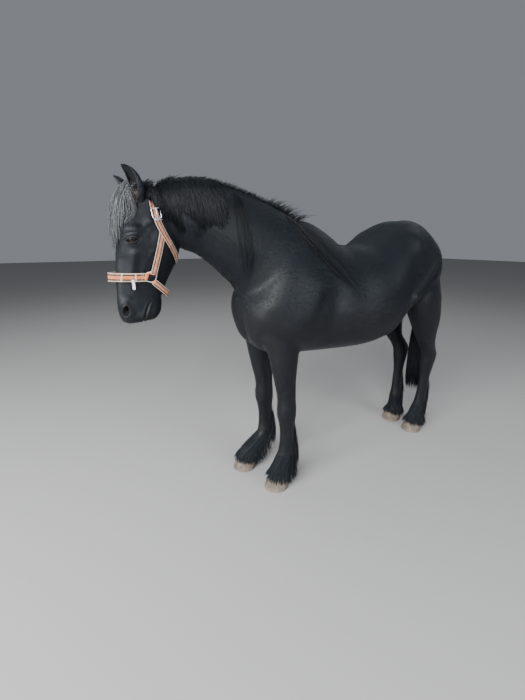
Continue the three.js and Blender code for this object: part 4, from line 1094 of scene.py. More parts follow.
def makeEye(side, material):
    rings, sides = 40, 56
    polar = np.linspace(0.01, math.pi - 0.01, rings)[:, None]
    angle = turns(sides)[None]
    radius = eyeLook["radius"] + 1.2 * (1 - smoothstep(polar, 0.3, 0.75))
    pa, pb = radius * np.sin(polar) * np.cos(angle), radius * np.sin(polar) * np.sin(angle)
    points = placed(eyeAxes(side), pa, pb, radius * np.cos(polar) + 0 * angle)
    name = "eyeball" + ("Left" if side == left else "Right")
    made = objectFrom(name, meshFrom(name, points.reshape(-1, 3), tubeFaces(rings, sides)))
    front = polar + 0 * angle < 1.5
    setField(made.data, "iris", np.where(front, np.hypot(pa, pb * 1.05) / 18.5, 2).ravel())
    setField(made.data, "pupil", np.where(front, np.hypot(pa / 9, pb / 4.4), 2).ravel())
    made.data.materials.append(material)
    return outwardFacing(made)


eyeMaterial = eyeFinish()
eyes = {side: makeEye(side, eyeMaterial) for side in (left, right)}

# Hooves: a sloping cone of horn with growth rings, a soft band at the coronet and a chipped edge
hoofLook = {
    "height": 86, "levels": [0, 10, 47.3, 78, 86], "halfLength": [79, 78.4, 69, 63, 58],
    "halfWidth": [73, 72.4, 65, 60, 55], "back": [0, 3, 19.8, 33, 36.4], "rings": 34, "around": 80,
}


def hoofFinish():
    material, tree, shader, place = shaderOf("horn", (0.2, 0.16, 0.125), 0.7, Specular_IOR_Level=0.3)
    height = heightOf(tree, place)
    fibres = noise(tree, stretched(tree, place, (1, 1, 0.1)), 420, 3)
    bands = noise(tree, stretched(tree, place, (0.12, 0.12, 1)), 190, 3)
    dust = ramp(tree, noise(tree, place, 34, 4), 0.35, 0.68)
    colour = mixColours(tree, fibres, (0.055, 0.044, 0.035), (0.12, 0.097, 0.076))
    # growth rings, dust, the worn edge below and the soft band at the coronet
    for share, tint in (
        (ramp(tree, bands, 0.45, 0.7, 0, 0.5), (0.09, 0.072, 0.058)),
        (times(tree, dust, 0.5), (0.2, 0.168, 0.134)),
        (ramp(tree, height, 0.022, 0.002, 0, 0.55), (0.17, 0.14, 0.112)),
        (ramp(tree, height, 0.066, 0.084, 0, 0.7), (0.06, 0.052, 0.046)),
    ):
        colour = mixColours(tree, share, colour, tint)
    relief = maths(tree, "ADD", fibres, times(tree, bands, 1.6))
    dress(tree, shader, colour, ramp(tree, fibres, 0.3, 0.7, 0.6, 0.85), relief, 0.0016, 0.8)
    return material


def makeHoof(name, leg, material):
    around = hoofLook["around"]
    t = np.linspace(0, 1, hoofLook["rings"])[:, None]
    z = hoofLook["height"] * t
    levels = np.array(hoofLook["levels"]) / hoofLook["height"]
    halfLength, halfWidth, back = (np.interp(t, levels, hoofLook[key]) for key in ("halfLength", "halfWidth", "back"))
    angle = turns(around)[None]
    ripple = 0.55 * np.sin(z / 1.35 + 0.6 * np.cos(angle * 2)) * smoothstep(t, 0.04, 0.12)
    ripple = ripple + 0.5 * np.sin(angle * 23 + z / 9) * 0.5 - 2.2 * (t < 0.001)
    c, s = np.cos(angle), np.sin(angle)
    rise = np.where(c > 0, 1 - 0.42 * c * smoothstep(t, 0, 0.2), 1)
    x = leg["hoofX"] + back + (halfLength + ripple) * np.where(c > 0, 0.9, 1) * c
    y = leg["side"] * leg["y"] + (halfWidth + ripple) * s
    outer = np.stack([x, y, z * rise], -1)
    middle = np.array([leg["hoofX"] + 2, leg["side"] * leg["y"], 0])
    sole = [
        middle + (outer[0] - middle) * (share, share, 0) + (0, 0, deep)
        for share, deep in ((0.12, 7), (0.5, 6), (0.86, 4), (0.93, 0))
    ]
    points = np.concatenate([np.array(sole), outer])
    mesh = meshFrom("hoof", points.reshape(-1, 3), tubeFaces(len(points), around))
    made = objectFrom("hoof" + name[0].upper() + name[1:], mesh)
    mesh.materials.append(material)
    return outwardFacing(made)


hoofMaterial = hoofFinish()
hooves = {name: makeHoof(name, leg, hoofMaterial) for name, leg in legs.items()}


# The head collar: places are x and z on the side of the head, and a strap's plane goes through a
# place in a direction.
halter = {
    "width": 28, "noseWidth": 38, "thickness": 2.6, "stand": 7.2, "round": 300, "overlap": 0.25,
    "crown": ((-1230, 1560), (-80, 228)), "nose": ((-1378, 1330), (-143, 3)), "jaw": ((-1330, 1334), (90, -82)),
    "cheek": (-1278, 1420), "noseSlack": 23, "jawSlack": 24, "ringAt": (-1312, 1330), "ringSide": 42,
    "ringBar": 2.9, "buckleAt": (-1272.5, 1594), "keeperAt": (-1266.5, 1567.5), "upCrown": (-30, 228),
    "tabAt": (-1385, 1302), "tabSize": (44, 12.4, 1.6), "cheekTop": (-1258, 1512), "crownEnd": (1470, 1612),
    "behindEar": {"depth": 33, "at": 10, "reach": 110, "span": 150},
}
# Sewing: heights of the lines on crown and cheek, places of those on the noseband, and the two
# broad bars of pale thread on its left, one of them slanting
sewing = {
    "crown": (1478, 1486, 1640, 1648, 1700), "cheek": (1366, 1373, 1496), "nose": (-1352, -1358),
    "bars": ((-1379, 0), (-1428, 2.8)), "spacing": 3.6, "radius": 0.42, "half": 1.5,
}
webbingColours = {
    "middle": (0.5, 0.19, 0.095), "noseMiddle": (0.52, 0.155, 0.05), "line": (0.02, 0.009, 0.007),
    "edge": (0.47, 0.35, 0.265), "gaps": (0.12, 0.07, 0.05), "worn": (0.5, 0.4, 0.33), "dirt": (0.16, 0.11, 0.08),
}


def webbingFinish(name, middle):
    material, tree, shader, place = shaderOf(
        name, middle, 0.72, Sheen_Weight=0.08, Sheen_Roughness=0.5, Specular_IOR_Level=0.25,
    )
    across, along = attribute(tree, "across"), attribute(tree, "along")
    uneven = maths(tree, "ADD", maths(tree, "ABSOLUTE", across), times(tree, noise(tree, place, 260, 2), 0.05))
    weft = maths(tree, "SINE", times(tree, along, 4.2))
    warp = maths(tree, "SINE", maths(tree, "ADD", times(tree, across, 58), times(tree, along, 2.1)))
    weave = times(tree, weft, warp)
    colour = middle
    for share, tint in (
        (ramp(tree, uneven, 0.38, 0.43), "line"), (ramp(tree, uneven, 0.74, 0.79), "edge"),
        (ramp(tree, weave, -1, 1, 0.26, 0), "gaps"),
        (ramp(tree, noise(tree, place, 55, 4), 0.5, 0.75, 0, 0.2), "worn"),
        (ramp(tree, noise(tree, place, 21, 3), 0.55, 0.8, 0, 0.35), "dirt"),
    ):
        colour = mixColours(tree, share, colour, webbingColours[tint])
    dress(tree, shader, colour, ramp(tree, weave, -1, 1, 0.8, 0.62), weave, 0.0005, 0.8)
    return material


def plainFinish(name, dark, light, roughness, scale, **inputs):
    material, tree, shader, place = shaderOf(name, dark, roughness, **inputs)
    grain = noise(tree, place, scale, 4)
    rough = ramp(tree, grain, 0.3, 0.7, roughness - 0.08, roughness + 0.12)
    dress(tree, shader, mixColours(tree, grain, dark, light), rough, grain, 0.0004, 0.6)
    return material


webbingMaterial = webbingFinish("webbing", webbingColours["middle"])
noseMaterial = webbingFinish("noseWebbing", webbingColours["noseMiddle"])
foldMaterial = plainFinish(
    "foldedWebbing", (0.003, 0.003, 0.004), (0.01, 0.01, 0.012), 0.8, 700, Specular_IOR_Level=0.15,
)
tabMaterial = plainFinish("tab", (0.4, 0.39, 0.38), (0.56, 0.55, 0.53), 0.6, 160)
metalMaterial = plainFinish("fittings", (0.5, 0.5, 0.51), (0.72, 0.72, 0.73), 0.3, 420, Metallic=1.0)
threadMaterial = plainFinish("thread", (0.6, 0.5, 0.42), (0.78, 0.7, 0.62), 0.7, 900)


# A taut loop round the flesh in a plane that holds the Y axis, bowed forwards over part of its way
def tautLoop(centre, forward, offset, slack, bow):
    count = halter["round"]
    v = unit(np.array([forward[0], 0, forward[1]], float))
    normal = np.cross([0, 1, 0], v)
    middle = np.array([centre[0], 0, centre[1]], float)
    depth, at, reach, span = (bow[key] for key in ("depth", "at", "reach", "span")) if bow else (0, 0, 1, 0)
    bowed = lambda height: depth * np.exp(-(((height - at) / reach) ** 2))
    angle = turns(count)
    facing = np.stack([np.cos(angle), np.sin(angle)], 1)
    rays = np.outer(facing[:, 0], [0, 1, 0]) + np.outer(facing[:, 1], v)
    away = 500
    distance = np.ones(count)
    for i in range(count):
        origin = middle + normal * (offset - bowed(facing[i, 1] * span))
        hit = skinTree.ray_cast(Vector(origin + rays[i] * away), Vector(-rays[i]))
        if hit[0] is not None and hit[3] < away:
            distance[i] = away - hit[3]
    support = (facing * distance[:, None] @ facing.T).max(0)
    toward = facing @ facing.T
    hull = np.where(toward > 0.2, support[None] / np.maximum(toward, 0.2), 9e9).min(1)
    origins = middle + np.outer(offset - bowed(facing[:, 1] * hull), normal)
    hull = hull + slack * np.maximum(facing[:, 1], 0) ** 2
    return origins + rays * hull[:, None], rays


def strapOf(centre, forward, width=halter["width"], slack=0, bow=None):
    low, rays = tautLoop(centre, forward, -width / 2, slack, bow)
    high, _ = tautLoop(centre, forward, width / 2, slack, bow)
    return low, high, rays


# The section of a strap: across it, and how far out of it
strapProfile = [(-1, 0.35), (-0.97, 0.8), (-0.88, 1), (-0.76, 0.97), (-0.7, 0.9), (-0.44, 0.9), (-0.4, 1), (0, 1.06)]
strapProfile += [(-a, h) for a, h in strapProfile[-2::-1]] + [(0.9, 0), (0.3, -0.02), (-0.3, -0.02), (-0.9, 0)]


# One length of a strap: the first run of a loop's points that pass a test, or all of the loop
def strapLength(loop, keep=None, lift=0.0):
    low, high, rays = loop
    if keep is not None:
        count = len(low)
        inside = np.array([keep(point) for point in (low + high) / 2])
        first = next(i for i in range(count) if inside[i] and not inside[i - 1])
        order = np.array([(first + i) % count for i in range(count) if inside[(first + i) % count]])
        gaps = np.nonzero(np.diff(order) % count != 1)[0]
        order = order[: gaps[0] + 1] if len(gaps) else order
        low, high, rays = low[order], high[order], rays[order]
    a, h = np.array(strapProfile).T
    centre, half = (low + high) / 2, (high - low) / 2
    level = halter["stand"] + lift + halter["thickness"] * h
    points = centre[:, None] + half[:, None] * a[None, :, None] + rays[:, None] * level[None, :, None]
    along = np.concatenate([[0], np.cumsum(np.linalg.norm(np.diff(centre, axis=0), axis=1))])
    return points, np.tile(a, len(centre)), np.repeat(along, len(a)), keep is None


def webbingObject(name, lengths, material):
    points, faces, _ = joined([(rings, closed) for rings, _, _, closed in lengths])
    made = objectFrom(name, meshFrom(name, points, faces))
    setField(made.data, "across", np.concatenate([across for _, across, _, _ in lengths]))
    setField(made.data, "along", np.concatenate([along for _, _, along, _ in lengths]))
    made.data.materials.append(material)
    return outwardFacing(made)


def sideAt(x, z, side):
    return castOn((x, side * 900, z), (0, -side, 0), Vector((x, 0, z)))[1]


# Axes at a place on one side of the head: across, along a direction, and out of the skin
def seatOf(place, side, up, lift):
    x, z = place
    at = lambda dx, dz: np.array([x + dx, sideAt(x + dx, z + dz, side), z + dz])
    out = unit(np.cross(at(16, 0) - at(-16, 0), at(0, 16) - at(0, -16)))
    out = out if out[1] * side > 0 else -out
    along = np.array([up[0], 0, up[1]], float)
    along = unit(along - out * (along @ out))
    return at(0, 0) + out * lift, np.cross(along, out), along, out


# A closed bar bent into a rounded rectangle, in the plane of two of a seat's axes
def barFrame(width, height, radius, seat, first, second, corner):
    u, v = seat[first], seat[second]
    w = np.cross(u, v)
    spots = []
    for cx, cy, turn in ((1, -1, -90), (1, 1, 0), (-1, 1, 90), (-1, -1, 180)):
        for k in range(8):
            c, s = math.cos(math.radians(turn + 90 * k / 7)), math.sin(math.radians(turn + 90 * k / 7))
            spots.append((cx * (width / 2 - corner) + corner * c, cy * (height / 2 - corner) + corner * s, c, s))
    spots = np.array(spots)
    centre = seat[0] + np.outer(spots[:, 0], u) + np.outer(spots[:, 1], v)
    aside = np.outer(spots[:, 2], u) + np.outer(spots[:, 3], v)
    a = turns(12)[None, :, None]
    return centre[:, None] + radius * (np.cos(a) * aside[:, None] + np.sin(a) * w)


def bentBar(points, radius):
    points = np.array(points, float)
    along = unit(np.gradient(points, axis=0))
    aside = unit(np.cross(along, [0.3, 0.2, 0.93]))
    other = np.cross(along, aside)
    a = turns(10)[None, :, None]
    shrink = np.ones(len(points))
    shrink[0] = shrink[-1] = 0.6
    rings = np.cos(a) * aside[:, None] + np.sin(a) * other[:, None]
    return points[:, None] + (radius * shrink)[:, None, None] * rings


# A soft pad: a rounded slab on a seat, for folded webbing and for strap ends round a bar
def padRings(seat, x, y, turn, width, height, depth, power=5, level=0.0):
    origin, across, along, out = seat
    u = across * math.cos(turn) + along * math.sin(turn)
    v = -across * math.sin(turn) + along * math.cos(turn)
    middle = origin + across * x + along * y + out * level
    t = np.linspace(-1, 1, 15)
    a = turns(20)
    shell = (1 - np.minimum(np.abs(t), 0.995) ** power) ** (1 / power)
    flat = lambda q: np.sign(q) * np.abs(q) ** 0.6
    return (
        middle
        + (t * width / 2)[:, None, None] * u
        + (shell[:, None] * flat(np.cos(a))[None] * height / 2)[..., None] * v
        + (shell[:, None] * flat(np.sin(a))[None] * depth / 2)[..., None] * out
    )


def solidObject(name, tubes, *materials):
    points, faces, counts = joined([tube[:2] for tube in tubes])
    made = objectFrom(name, meshFrom(name, points, faces))
    for material in materials:
        made.data.materials.append(material)
    made.data.polygons.foreach_set("material_index", np.repeat([tube[2] for tube in tubes], counts))
    return outwardFacing(made)


# Stitches: a small thread capsule repeated along lines of sewing by Geometry Nodes
def stitchTree():
    tree, given = geometryTree(
        "stitches", Geometry="Geometry", Thread="Object", Spacing="Float", Material="Material",
    )
    curve = geometryNode(tree, "MeshToCurve", {"Mesh": given["Geometry"]})[0]
    even = geometryNode(tree, "ResampleCurve", {"Curve": curve, "Length": given["Spacing"]}, mode="LENGTH")[0]
    tangent = geometryNode(tree, "InputTangent")[0]
    turn = newNode(tree, "FunctionNodeAlignRotationToVector", {"Vector": tangent}, axis="Z").outputs[0]
    return repeated(tree, even, given["Thread"], given["Material"], turn)


def makeStitches(name, lines):
    t = np.linspace(-1, 1, 7)[:, None]
    a = turns(6)
    shell = sewing["radius"] * np.sqrt(1 - np.minimum(np.abs(t), 0.97) ** 2)
    rings = np.stack([shell * np.cos(a), shell * np.sin(a), sewing["half"] * t + 0 * a], -1)
    thread = bpy.data.meshes.new("threadShape")
    thread.from_pydata((rings.reshape(-1, 3) / 1000).tolist(), [], [face[::-1] for face in tubeFaces(*rings.shape[:2])])
    shape = bpy.data.objects.new("threadShape", thread)
    points, edges = [], []
    for line in lines:
        edges += [(len(points) + i, len(points) + i + 1) for i in range(len(line) - 1)]
        points += list(line)
    mesh = bpy.data.meshes.new(name)
    mesh.from_pydata(placeOf(points).tolist(), edges, [])
    made = objectFrom(name, mesh)
    grow(made, stitchTree(), Thread=shape, Spacing=sewing["spacing"] / 1000, Material=threadMaterial)
    bpy.data.objects.remove(shape)
    return made


# A point on a strap: at an index along its loop, which may lie between two of its points, and across it
def onStrap(loop, index, a, lift):
    first = math.floor(index)
    here, after = first % len(loop[0]), (first + 1) % len(loop[0])
    low, high, rays = (each[here] * (first + 1 - index) + each[after] * (index - first) for each in loop)
    return (low + high) / 2 + (high - low) / 2 * a + rays * (halter["stand"] + halter["thickness"] + lift)


# A line of sewing across a strap
def sewn(loop, index, half, count, lift=halter["overlap"], slant=0):
    return [onStrap(loop, index + slant * a, a, lift) for a in np.linspace(-half, half, count)]


# Where the middle of a strap passes levels of one axis: index, level and place
def crossings(loop, axis, levels):
    middle = (loop[0] + loop[1]) / 2
    passes = lambda i, level: (middle[i][axis] - level) * (middle[i - 1][axis] - level) < 0
    return [(i, level, middle[i]) for level in levels for i in range(len(middle)) if passes(i, level)]


def makeHalter():
    ringX, ringZ = halter["ringAt"]
    bar = halter["ringSide"] / 2
    top = halter["cheekTop"]
    upCheek, upCrown = (top[0] - ringX, top[1] - ringZ), halter["upCrown"]
    stand, thickness, overlap = halter["stand"], halter["thickness"], halter["overlap"]
    crown = strapOf(*halter["crown"], bow=halter["behindEar"])
    nose = strapOf(*halter["nose"], halter["noseWidth"], halter["noseSlack"])
    jaw = strapOf(*halter["jaw"], slack=halter["jawSlack"])
    cheek = strapOf(halter["cheek"], upCheek)
    lift = thickness + overlap
    foot, end = halter["crownEnd"]
    isCheek = lambda side: lambda p: ringZ + bar - 4 < p[2] < top[1] + 8 and p[1] * side > 0
    lengths = [strapLength(crown), strapLength(crown, lambda p: p[1] < -20 and foot < p[2] < end, lift)]
    lengths += [strapLength(cheek, isCheek(side), -0.6) for side in (left, right)]
    headpiece = webbingObject("headpieceWebbing", lengths, webbingMaterial)
    isNose = lambda p: p[0] < ringX - bar + 2
    noseband = webbingObject("nosebandWebbing", [strapLength(nose, isNose)], noseMaterial)
    isJaw = lambda p: 0.74 * p[0] - 0.67 * p[2] > 0.74 * (ringX + 15) - 0.67 * (ringZ - 15)
    jawStrap = webbingObject("jawWebbing", [strapLength(jaw, isJaw)], webbingMaterial)
    # strap ends folded round the bars of the rings, and the dark fold of webbing inside each ring
    folds, ends, frames = [], [], {}
    width, noseWidth, frameSide = halter["width"], halter["noseWidth"], halter["ringSide"]
    for side, word in ((left, "Left"), (right, "Right")):
        seat = seatOf(halter["ringAt"], side, upCheek, stand + thickness / 2 + 0.4)
        way = 1 if seat[1][0] > 0 else -1
        ends += [
            (padRings(seat, 0, bar, 0, width - 1, 15, 10.5), False, 0),
            (padRings(seat, -way * bar, 0, math.pi / 2, noseWidth - 4, 15, 10.5), False, 1),
            (padRings(seat, way * bar * 0.86, -bar * 0.86, way * math.pi / 4, width - 6, 15, 10.5), False, 0),
        ]
        folds.append((padRings(seat, 0, -1, 0, 33, 34, 7.5, 6, -0.8), False, 2))
        folds.append((padRings(seat, 1, 3, 0.5, 27, 13, 6, 4, 2.4), False, 2))
        frames["ring" + word] = barFrame(frameSide, frameSide, halter["ringBar"], seat, 1, 2, 8)
    ringEnds = solidObject("ringWebbing", ends + folds, webbingMaterial, noseMaterial, foldMaterial)
    ringLeft, ringRight = (solidObject(name, [(rings, True, 0)], metalMaterial) for name, rings in frames.items())
    # buckle with its tongue and roller, keeper, and the plain tab under the noseband
    seat = seatOf(halter["buckleAt"], left, upCrown, stand + 2 * thickness + 1.2)
    spot = lambda x, y, h: seat[0] + seat[1] * x + seat[2] * y + seat[3] * h
    tongue = [
        spot(1, -18 + 2.4 * k, 1.9 * math.sin(math.pi * k / 17) + (2.6 if k > 14 else 1.6)) for k in range(18)
    ]
    roller = [spot(-15 + 3 * k, 19.5, 0) for k in range(11)]
    bars = [(barFrame(38, 40, 1.8, seat, 1, 2, 6), True, 0)]
    bars += [(bentBar(points, radius), False, 0) for points, radius in ((tongue, 1.3), (roller, 2.4))]
    buckle = solidObject("buckle", bars, metalMaterial)
    seat = seatOf(halter["keeperAt"], left, upCrown, stand + thickness)
    bars = [(barFrame(34, 11, 1.7, seat, 1, 3, 4), True, 0)]
    bars.append((barFrame(34, 11, 1.2, (seat[0] + seat[2] * 2.6, *seat[1:]), 1, 3, 4), True, 0))
    keeper = solidObject("keeper", bars, metalMaterial)
    origin, across, along, out = seatOf(halter["tabAt"], left, (0, 1), stand + thickness + 1.6)
    t = np.linspace(-1, 1, 24)[:, None, None]
    a = turns(16)[None, :, None]
    flat = lambda q: np.sign(q) * np.abs(q) ** 0.5
    halfLength, halfWidth, halfThick = (size / 2 for size in halter["tabSize"])
    narrowed = flat(np.cos(a)) * halfWidth * (1 - 0.12 * np.abs(t) ** 8)
    bent = flat(np.sin(a)) * halfThick + 3 * np.maximum(-t, 0) ** 2
    tabRings = origin + along * (t * halfLength) + across * narrowed + out * bent
    tab = solidObject("tab", [(tabRings, False, 0)], tabMaterial)
    lines = [
        sewn(crown, i, 0.85, 8, overlap + lift * (z < end and p[1] < 0))
        for i, z, p in crossings(crown, 2, sewing["crown"])
    ]
    lines += [sewn(cheek, i, 0.85, 8, -0.35) for i, _, _ in crossings(cheek, 2, sewing["cheek"])]
    lines += [sewn(nose, i, 0.88, 10) for i, _, _ in crossings(nose, 0, sewing["nose"])]
    for x, slant in sewing["bars"]:
        for i in (i for i, _, p in crossings(nose, 0, (x,)) if p[1] < 0):
            lines += [sewn(nose, i + k * 0.5, 0.9, 12, slant=slant) for k in range(-3, 4)]
    stitches = makeStitches("stitches", lines)
    crownShape = BVHTree.FromPolygons(
        pointsOf(headpiece.data).tolist(), [list(face.vertices) for face in headpiece.data.polygons],
    )
    settle(headpiece, "webbing", "halter_headpiece")
    settle(noseband, "webbing", "halter_noseband")
    settle(jawStrap, "webbing", "halter_jaw_strap")
    for made in (ringEnds, stitches):
        settle(made, "webbing")
    settle(ringLeft, "fittings", "halter_ring_left")
    settle(ringRight, "fittings", "halter_ring_right")
    settle(buckle, "fittings", "halter_buckle")
    settle(keeper, "fittings", "halter_keeper")
    settle(tab, "webbing", "halter_tab")
    return crownShape, crown


strapTree, crownLoop = makeHalter()
print("head collar made")

# Long hair: each strand is a thin, flat, tapered lock that bends along a path.
strandProfile = np.array([[0.5, 0], [-0.5, 0], [0, 1]])
strandSpot = tuftLook["spot"]


def strandPiece(name, paths, widths, thickness, outwards, material, shade=None):
    count, steps = paths.shape[:2]
    along = unit(np.gradient(paths, axis=1))
    across = unit(np.cross(along, outwards))
    out = unit(np.cross(across, along))
    w, h = strandProfile[:, 0], strandProfile[:, 1]
    corners = paths[:, :, None] + across[:, :, None] * (widths[:, :, None] * w)[..., None]
    corners += out[:, :, None] * (thickness * h)[..., None] * (widths / widths.max(1, keepdims=True))[..., None, None]
    points = np.concatenate([corners[:, :-1].reshape(count, -1, 3), paths[:, -1:]], 1)
    each = points.shape[1]
    tip, last = each - 1, (steps - 2) * 3
    round3 = ((0, 1), (1, 2), (2, 0))
    quads = [[k * 3 + a, k * 3 + b, k * 3 + 3 + b, k * 3 + 3 + a] for k in range(steps - 2) for a, b in round3]
    ends = [[2, 1, 0]] + [[last + a, last + b, tip] for a, b in round3]
    quads, ends = (np.array(faces)[None] + (np.arange(count) * each)[:, None, None] for faces in (quads, ends))
    loops = np.concatenate([quads.reshape(-1), ends.reshape(-1)]).astype(np.int32)
    sizes = np.repeat([4, 3], [quads.size // 4, ends.size // 3])
    mesh = bpy.data.meshes.new(name)
    mesh.vertices.add(count * each)
    mesh.vertices.foreach_set("co", placeOf(points.reshape(-1, 3)).astype(np.float32).ravel())
    mesh.loops.add(len(loops))
    mesh.loops.foreach_set("vertex_index", loops)
    mesh.polygons.add(len(sizes))
    mesh.polygons.foreach_set("loop_start", np.concatenate([[0], np.cumsum(sizes)[:-1]]).astype(np.int32))
    setSmooth(mesh)
    mesh.update(calc_edges=True)
    local = np.zeros((each, 2))
    local[:-1, 0] = np.tile([0, 1, 0.5], steps - 1)
    local[:-1, 1] = np.repeat(np.arange(steps - 1) / (steps - 1), 3)
    local[-1] = (0.5, 1)
    uv = (spotsOf(paths[:, 0])[0][:, None] + strandSpot * local[None]).reshape(-1, 2)[loops]
    mesh.uv_layers.new(name="OFBake").data.foreach_set("uv", uv.astype(np.float32).ravel())
    setField(mesh, "tone", np.repeat(np.random.default_rng(5).random(count) if shade is None else shade, each))
    made = objectFrom(name, mesh, smooth=False)
    mesh.materials.append(material)
    mesh.validate()
    print(name, count, "strands,", int((sizes - 2).sum()), "triangles")
    return made


# How a strand's width goes from its root to its tip
def taper(steps, root, middle):
    return between(np.linspace(0, 1, steps), {0: root, 0.25: middle, 0.7: middle * 0.75, 1: middle * 0.12})


# Widths along strands, each with its own share of the usual
def widthsOf(random, count, steps, root, middle, share):
    return taper(steps, root, middle)[None] * random.uniform(*share, (count, 1))


# Strands gather into locks: each is drawn towards the middle of its lock on its way to the tip.
def gathered(paths, lockOf, pull):
    s = np.linspace(0, 1, paths.shape[1])[None, :, None]
    result = paths.copy()
    for index in np.unique(lockOf):
        mine = lockOf == index
        centre = paths[mine].mean(0, keepdims=True)
        result[mine] += (centre - paths[mine]) * pull * s**1.4
    return result


# Hair that falls over one side of the neck from its top line, lying on the skin while there is any.
def fallPaths(random, side, rootX, length, steps, lift, sway, wave):
    count = len(rootX)
    s = np.linspace(0, 1, steps)[None]
    rootY = side * random.uniform(-6, 16, count)[:, None]
    top = topRelief.at(rootX, rootY[:, 0])[:, None]
    phase = random.uniform(0, 2 * math.pi, (count, 2))
    x = rootX[:, None] + sway[:, None] * s + wave * np.sin(phase[:, :1] + s * 9) * s
    rise = random.uniform(8, 18, count)[:, None]
    drop = length[:, None] * np.maximum(s - 0.05, 0) / 0.95
    z = top - 6 + rise * np.sin(np.minimum(s / 0.16, 1) * math.pi / 2) - drop
    y = np.empty_like(x)
    y[:, 0] = side * rootY[:, 0]
    for k in range(1, steps):
        flesh = sideRelief[side].at(x[:, k], z[:, k]) * side
        rest = np.maximum(y[:, k - 1] - 5, 4)
        near = np.where(np.isnan(flesh), rest, np.maximum(flesh + lift * min(1, k / 2), rest))
        y[:, k] = np.maximum(near, 14 * s[0, k] + y[:, 0]) if k < 3 else near
    y += wave * 0.6 * np.sin(phase[:, 1:] + s * 8) * s
    y[:, 0] -= 4
    z[:, 0] -= 8
    return np.stack([x, side * y, z], -1)


# Hair that falls to the left: it goes over the crest in an arc and then lies on the side of the
# neck, or on the crown strap.
def overSide(random, rootX, length, steps, wave):
    count = len(rootX)
    s = np.linspace(0, 1, steps)[None]
    phase = random.uniform(0, 2 * math.pi, (count, 2))
    start = random.uniform(-14, 20, count)
    x = rootX[:, None] + (random.uniform(-4, 22, count)[:, None] + 0.12 * length[:, None]) * s
    x += wave * np.sin(phase[:, :1] + s * 8) * s
    above = random.uniform(3, 11, count)[:, None]
    table = {}
    result = np.empty((count, steps, 3))
    for i in range(count):
        key = int(round(rootX[i] / 12))
        if key not in table:
            table[key] = sectionLine(key * 12)
        line, arc = table[key]
        own = start[i] + 24 + min(length[i], arc[-1] - 60) * s[0]
        y, z = np.interp(own, arc, line[:, 0]), np.interp(own, arc, line[:, 1])
        out = np.stack([np.interp(own, arc, line[:, 2]), np.interp(own, arc, line[:, 3])], 1)
        proud = above[i] * np.minimum(1, 0.15 + s[0] * 4) + 5 * np.sin(np.minimum(s[0] / 0.35, 1) * math.pi)
        result[i] = np.stack([x[i], y + out[:, 0] * proud, z + out[:, 1] * proud], 1)
    result[:, :, 1] += wave * 0.4 * np.sin(phase[:, 1:] + s * 7) * s
    return result


# The outline of the neck across its length at one x, from 24 mm right of the crest down the left
def sectionLine(x):
    spots = []
    top, under = (float(relief.at(np.array([x]), np.array([0.0]))[0]) for relief in (topRelief, underRelief))
    middle = top - min(max(0.5 * (top - under), 90), 190)
    for turn in np.linspace(-0.3, 2.5, 90):
        ray = (0, -math.sin(turn), math.cos(turn))
        origin, inwards = Vector((x, ray[1] * 400, middle + ray[2] * 400)), Vector((0, -ray[1], -ray[2]))
        hits = [tree.ray_cast(origin, inwards) for tree in (skinTree, strapTree)]
        hits = [(distance, spot) for spot, _, _, distance in hits if spot is not None and distance < 400]
        if hits:
            spot = min(hits)[1]
            spots.append((spot[1], spot[2], ray[1], ray[2]))
    line = np.array(spots)
    start = np.searchsorted(-line[:, 0], -24)
    line = line[max(start - 1, 0):]
    arc = np.concatenate([[0], np.cumsum(np.hypot(*np.diff(line[:, :2], axis=0).T))])
    return line, arc


maneSizes = {
    "mainCount": 2600, "mainLocks": 52, "mainSpan": (-1285, -470), "mainLength": (330, 420), "mainWidth": 5.5,
    "mainLift": (2, 22), "leftCount": 1500, "leftLocks": 44, "leftSpan": (-1302, -960), "leftLength": (260, 500),
    "leftWidth": 3.1, "leftLongest": {-1290: 175, -1225: 210, -1190: 305, -1130: 430, -1040: 410, -960: 190},
    "overEar": (-1302, -1248), "steps": 10, "wave": 7, "edgeCount": 170,
}


def locksOf(random, rootX, span, locks):
    return ((rootX - span[0]) / (span[1] - span[0]) * locks + random.uniform(-0.4, 0.4, len(rootX))).astype(int)


# The main mane on the right
def makeMainMane(random):
    steps, wave, count = maneSizes["steps"], maneSizes["wave"], maneSizes["mainCount"]
    rootX = np.sort(random.uniform(*maneSizes["mainSpan"], count))
    lockOf = locksOf(random, rootX, maneSizes["mainSpan"], maneSizes["mainLocks"])
    lockLength = random.uniform(*maneSizes["mainLength"], maneSizes["mainLocks"] + 1)
    ends = smoothstep(rootX, -1300, -1180) * (1 - 0.45 * smoothstep(rootX, -620, -470))
    length = (lockLength[np.clip(lockOf, 0, None)] * random.uniform(0.78, 1.05, count)) * (0.55 + 0.45 * ends)
    level = np.zeros(count)
    length = np.minimum(length, 0.8 * (topRelief.at(rootX, level) - underRelief.at(rootX + 40, level)))
    lift = random.uniform(*maneSizes["mainLift"], count)
    sway = random.uniform(0, 40, count) + 22
    paths = gathered(fallPaths(random, right, rootX, length, steps, lift, sway, wave), lockOf, 0.72)
    widths = widthsOf(random, count, steps, 3.2, maneSizes["mainWidth"], (0.6, 1.25))
    return strandPiece("maneRight", paths, widths, 1.6, (0, right, 0.25), hairMaterial)


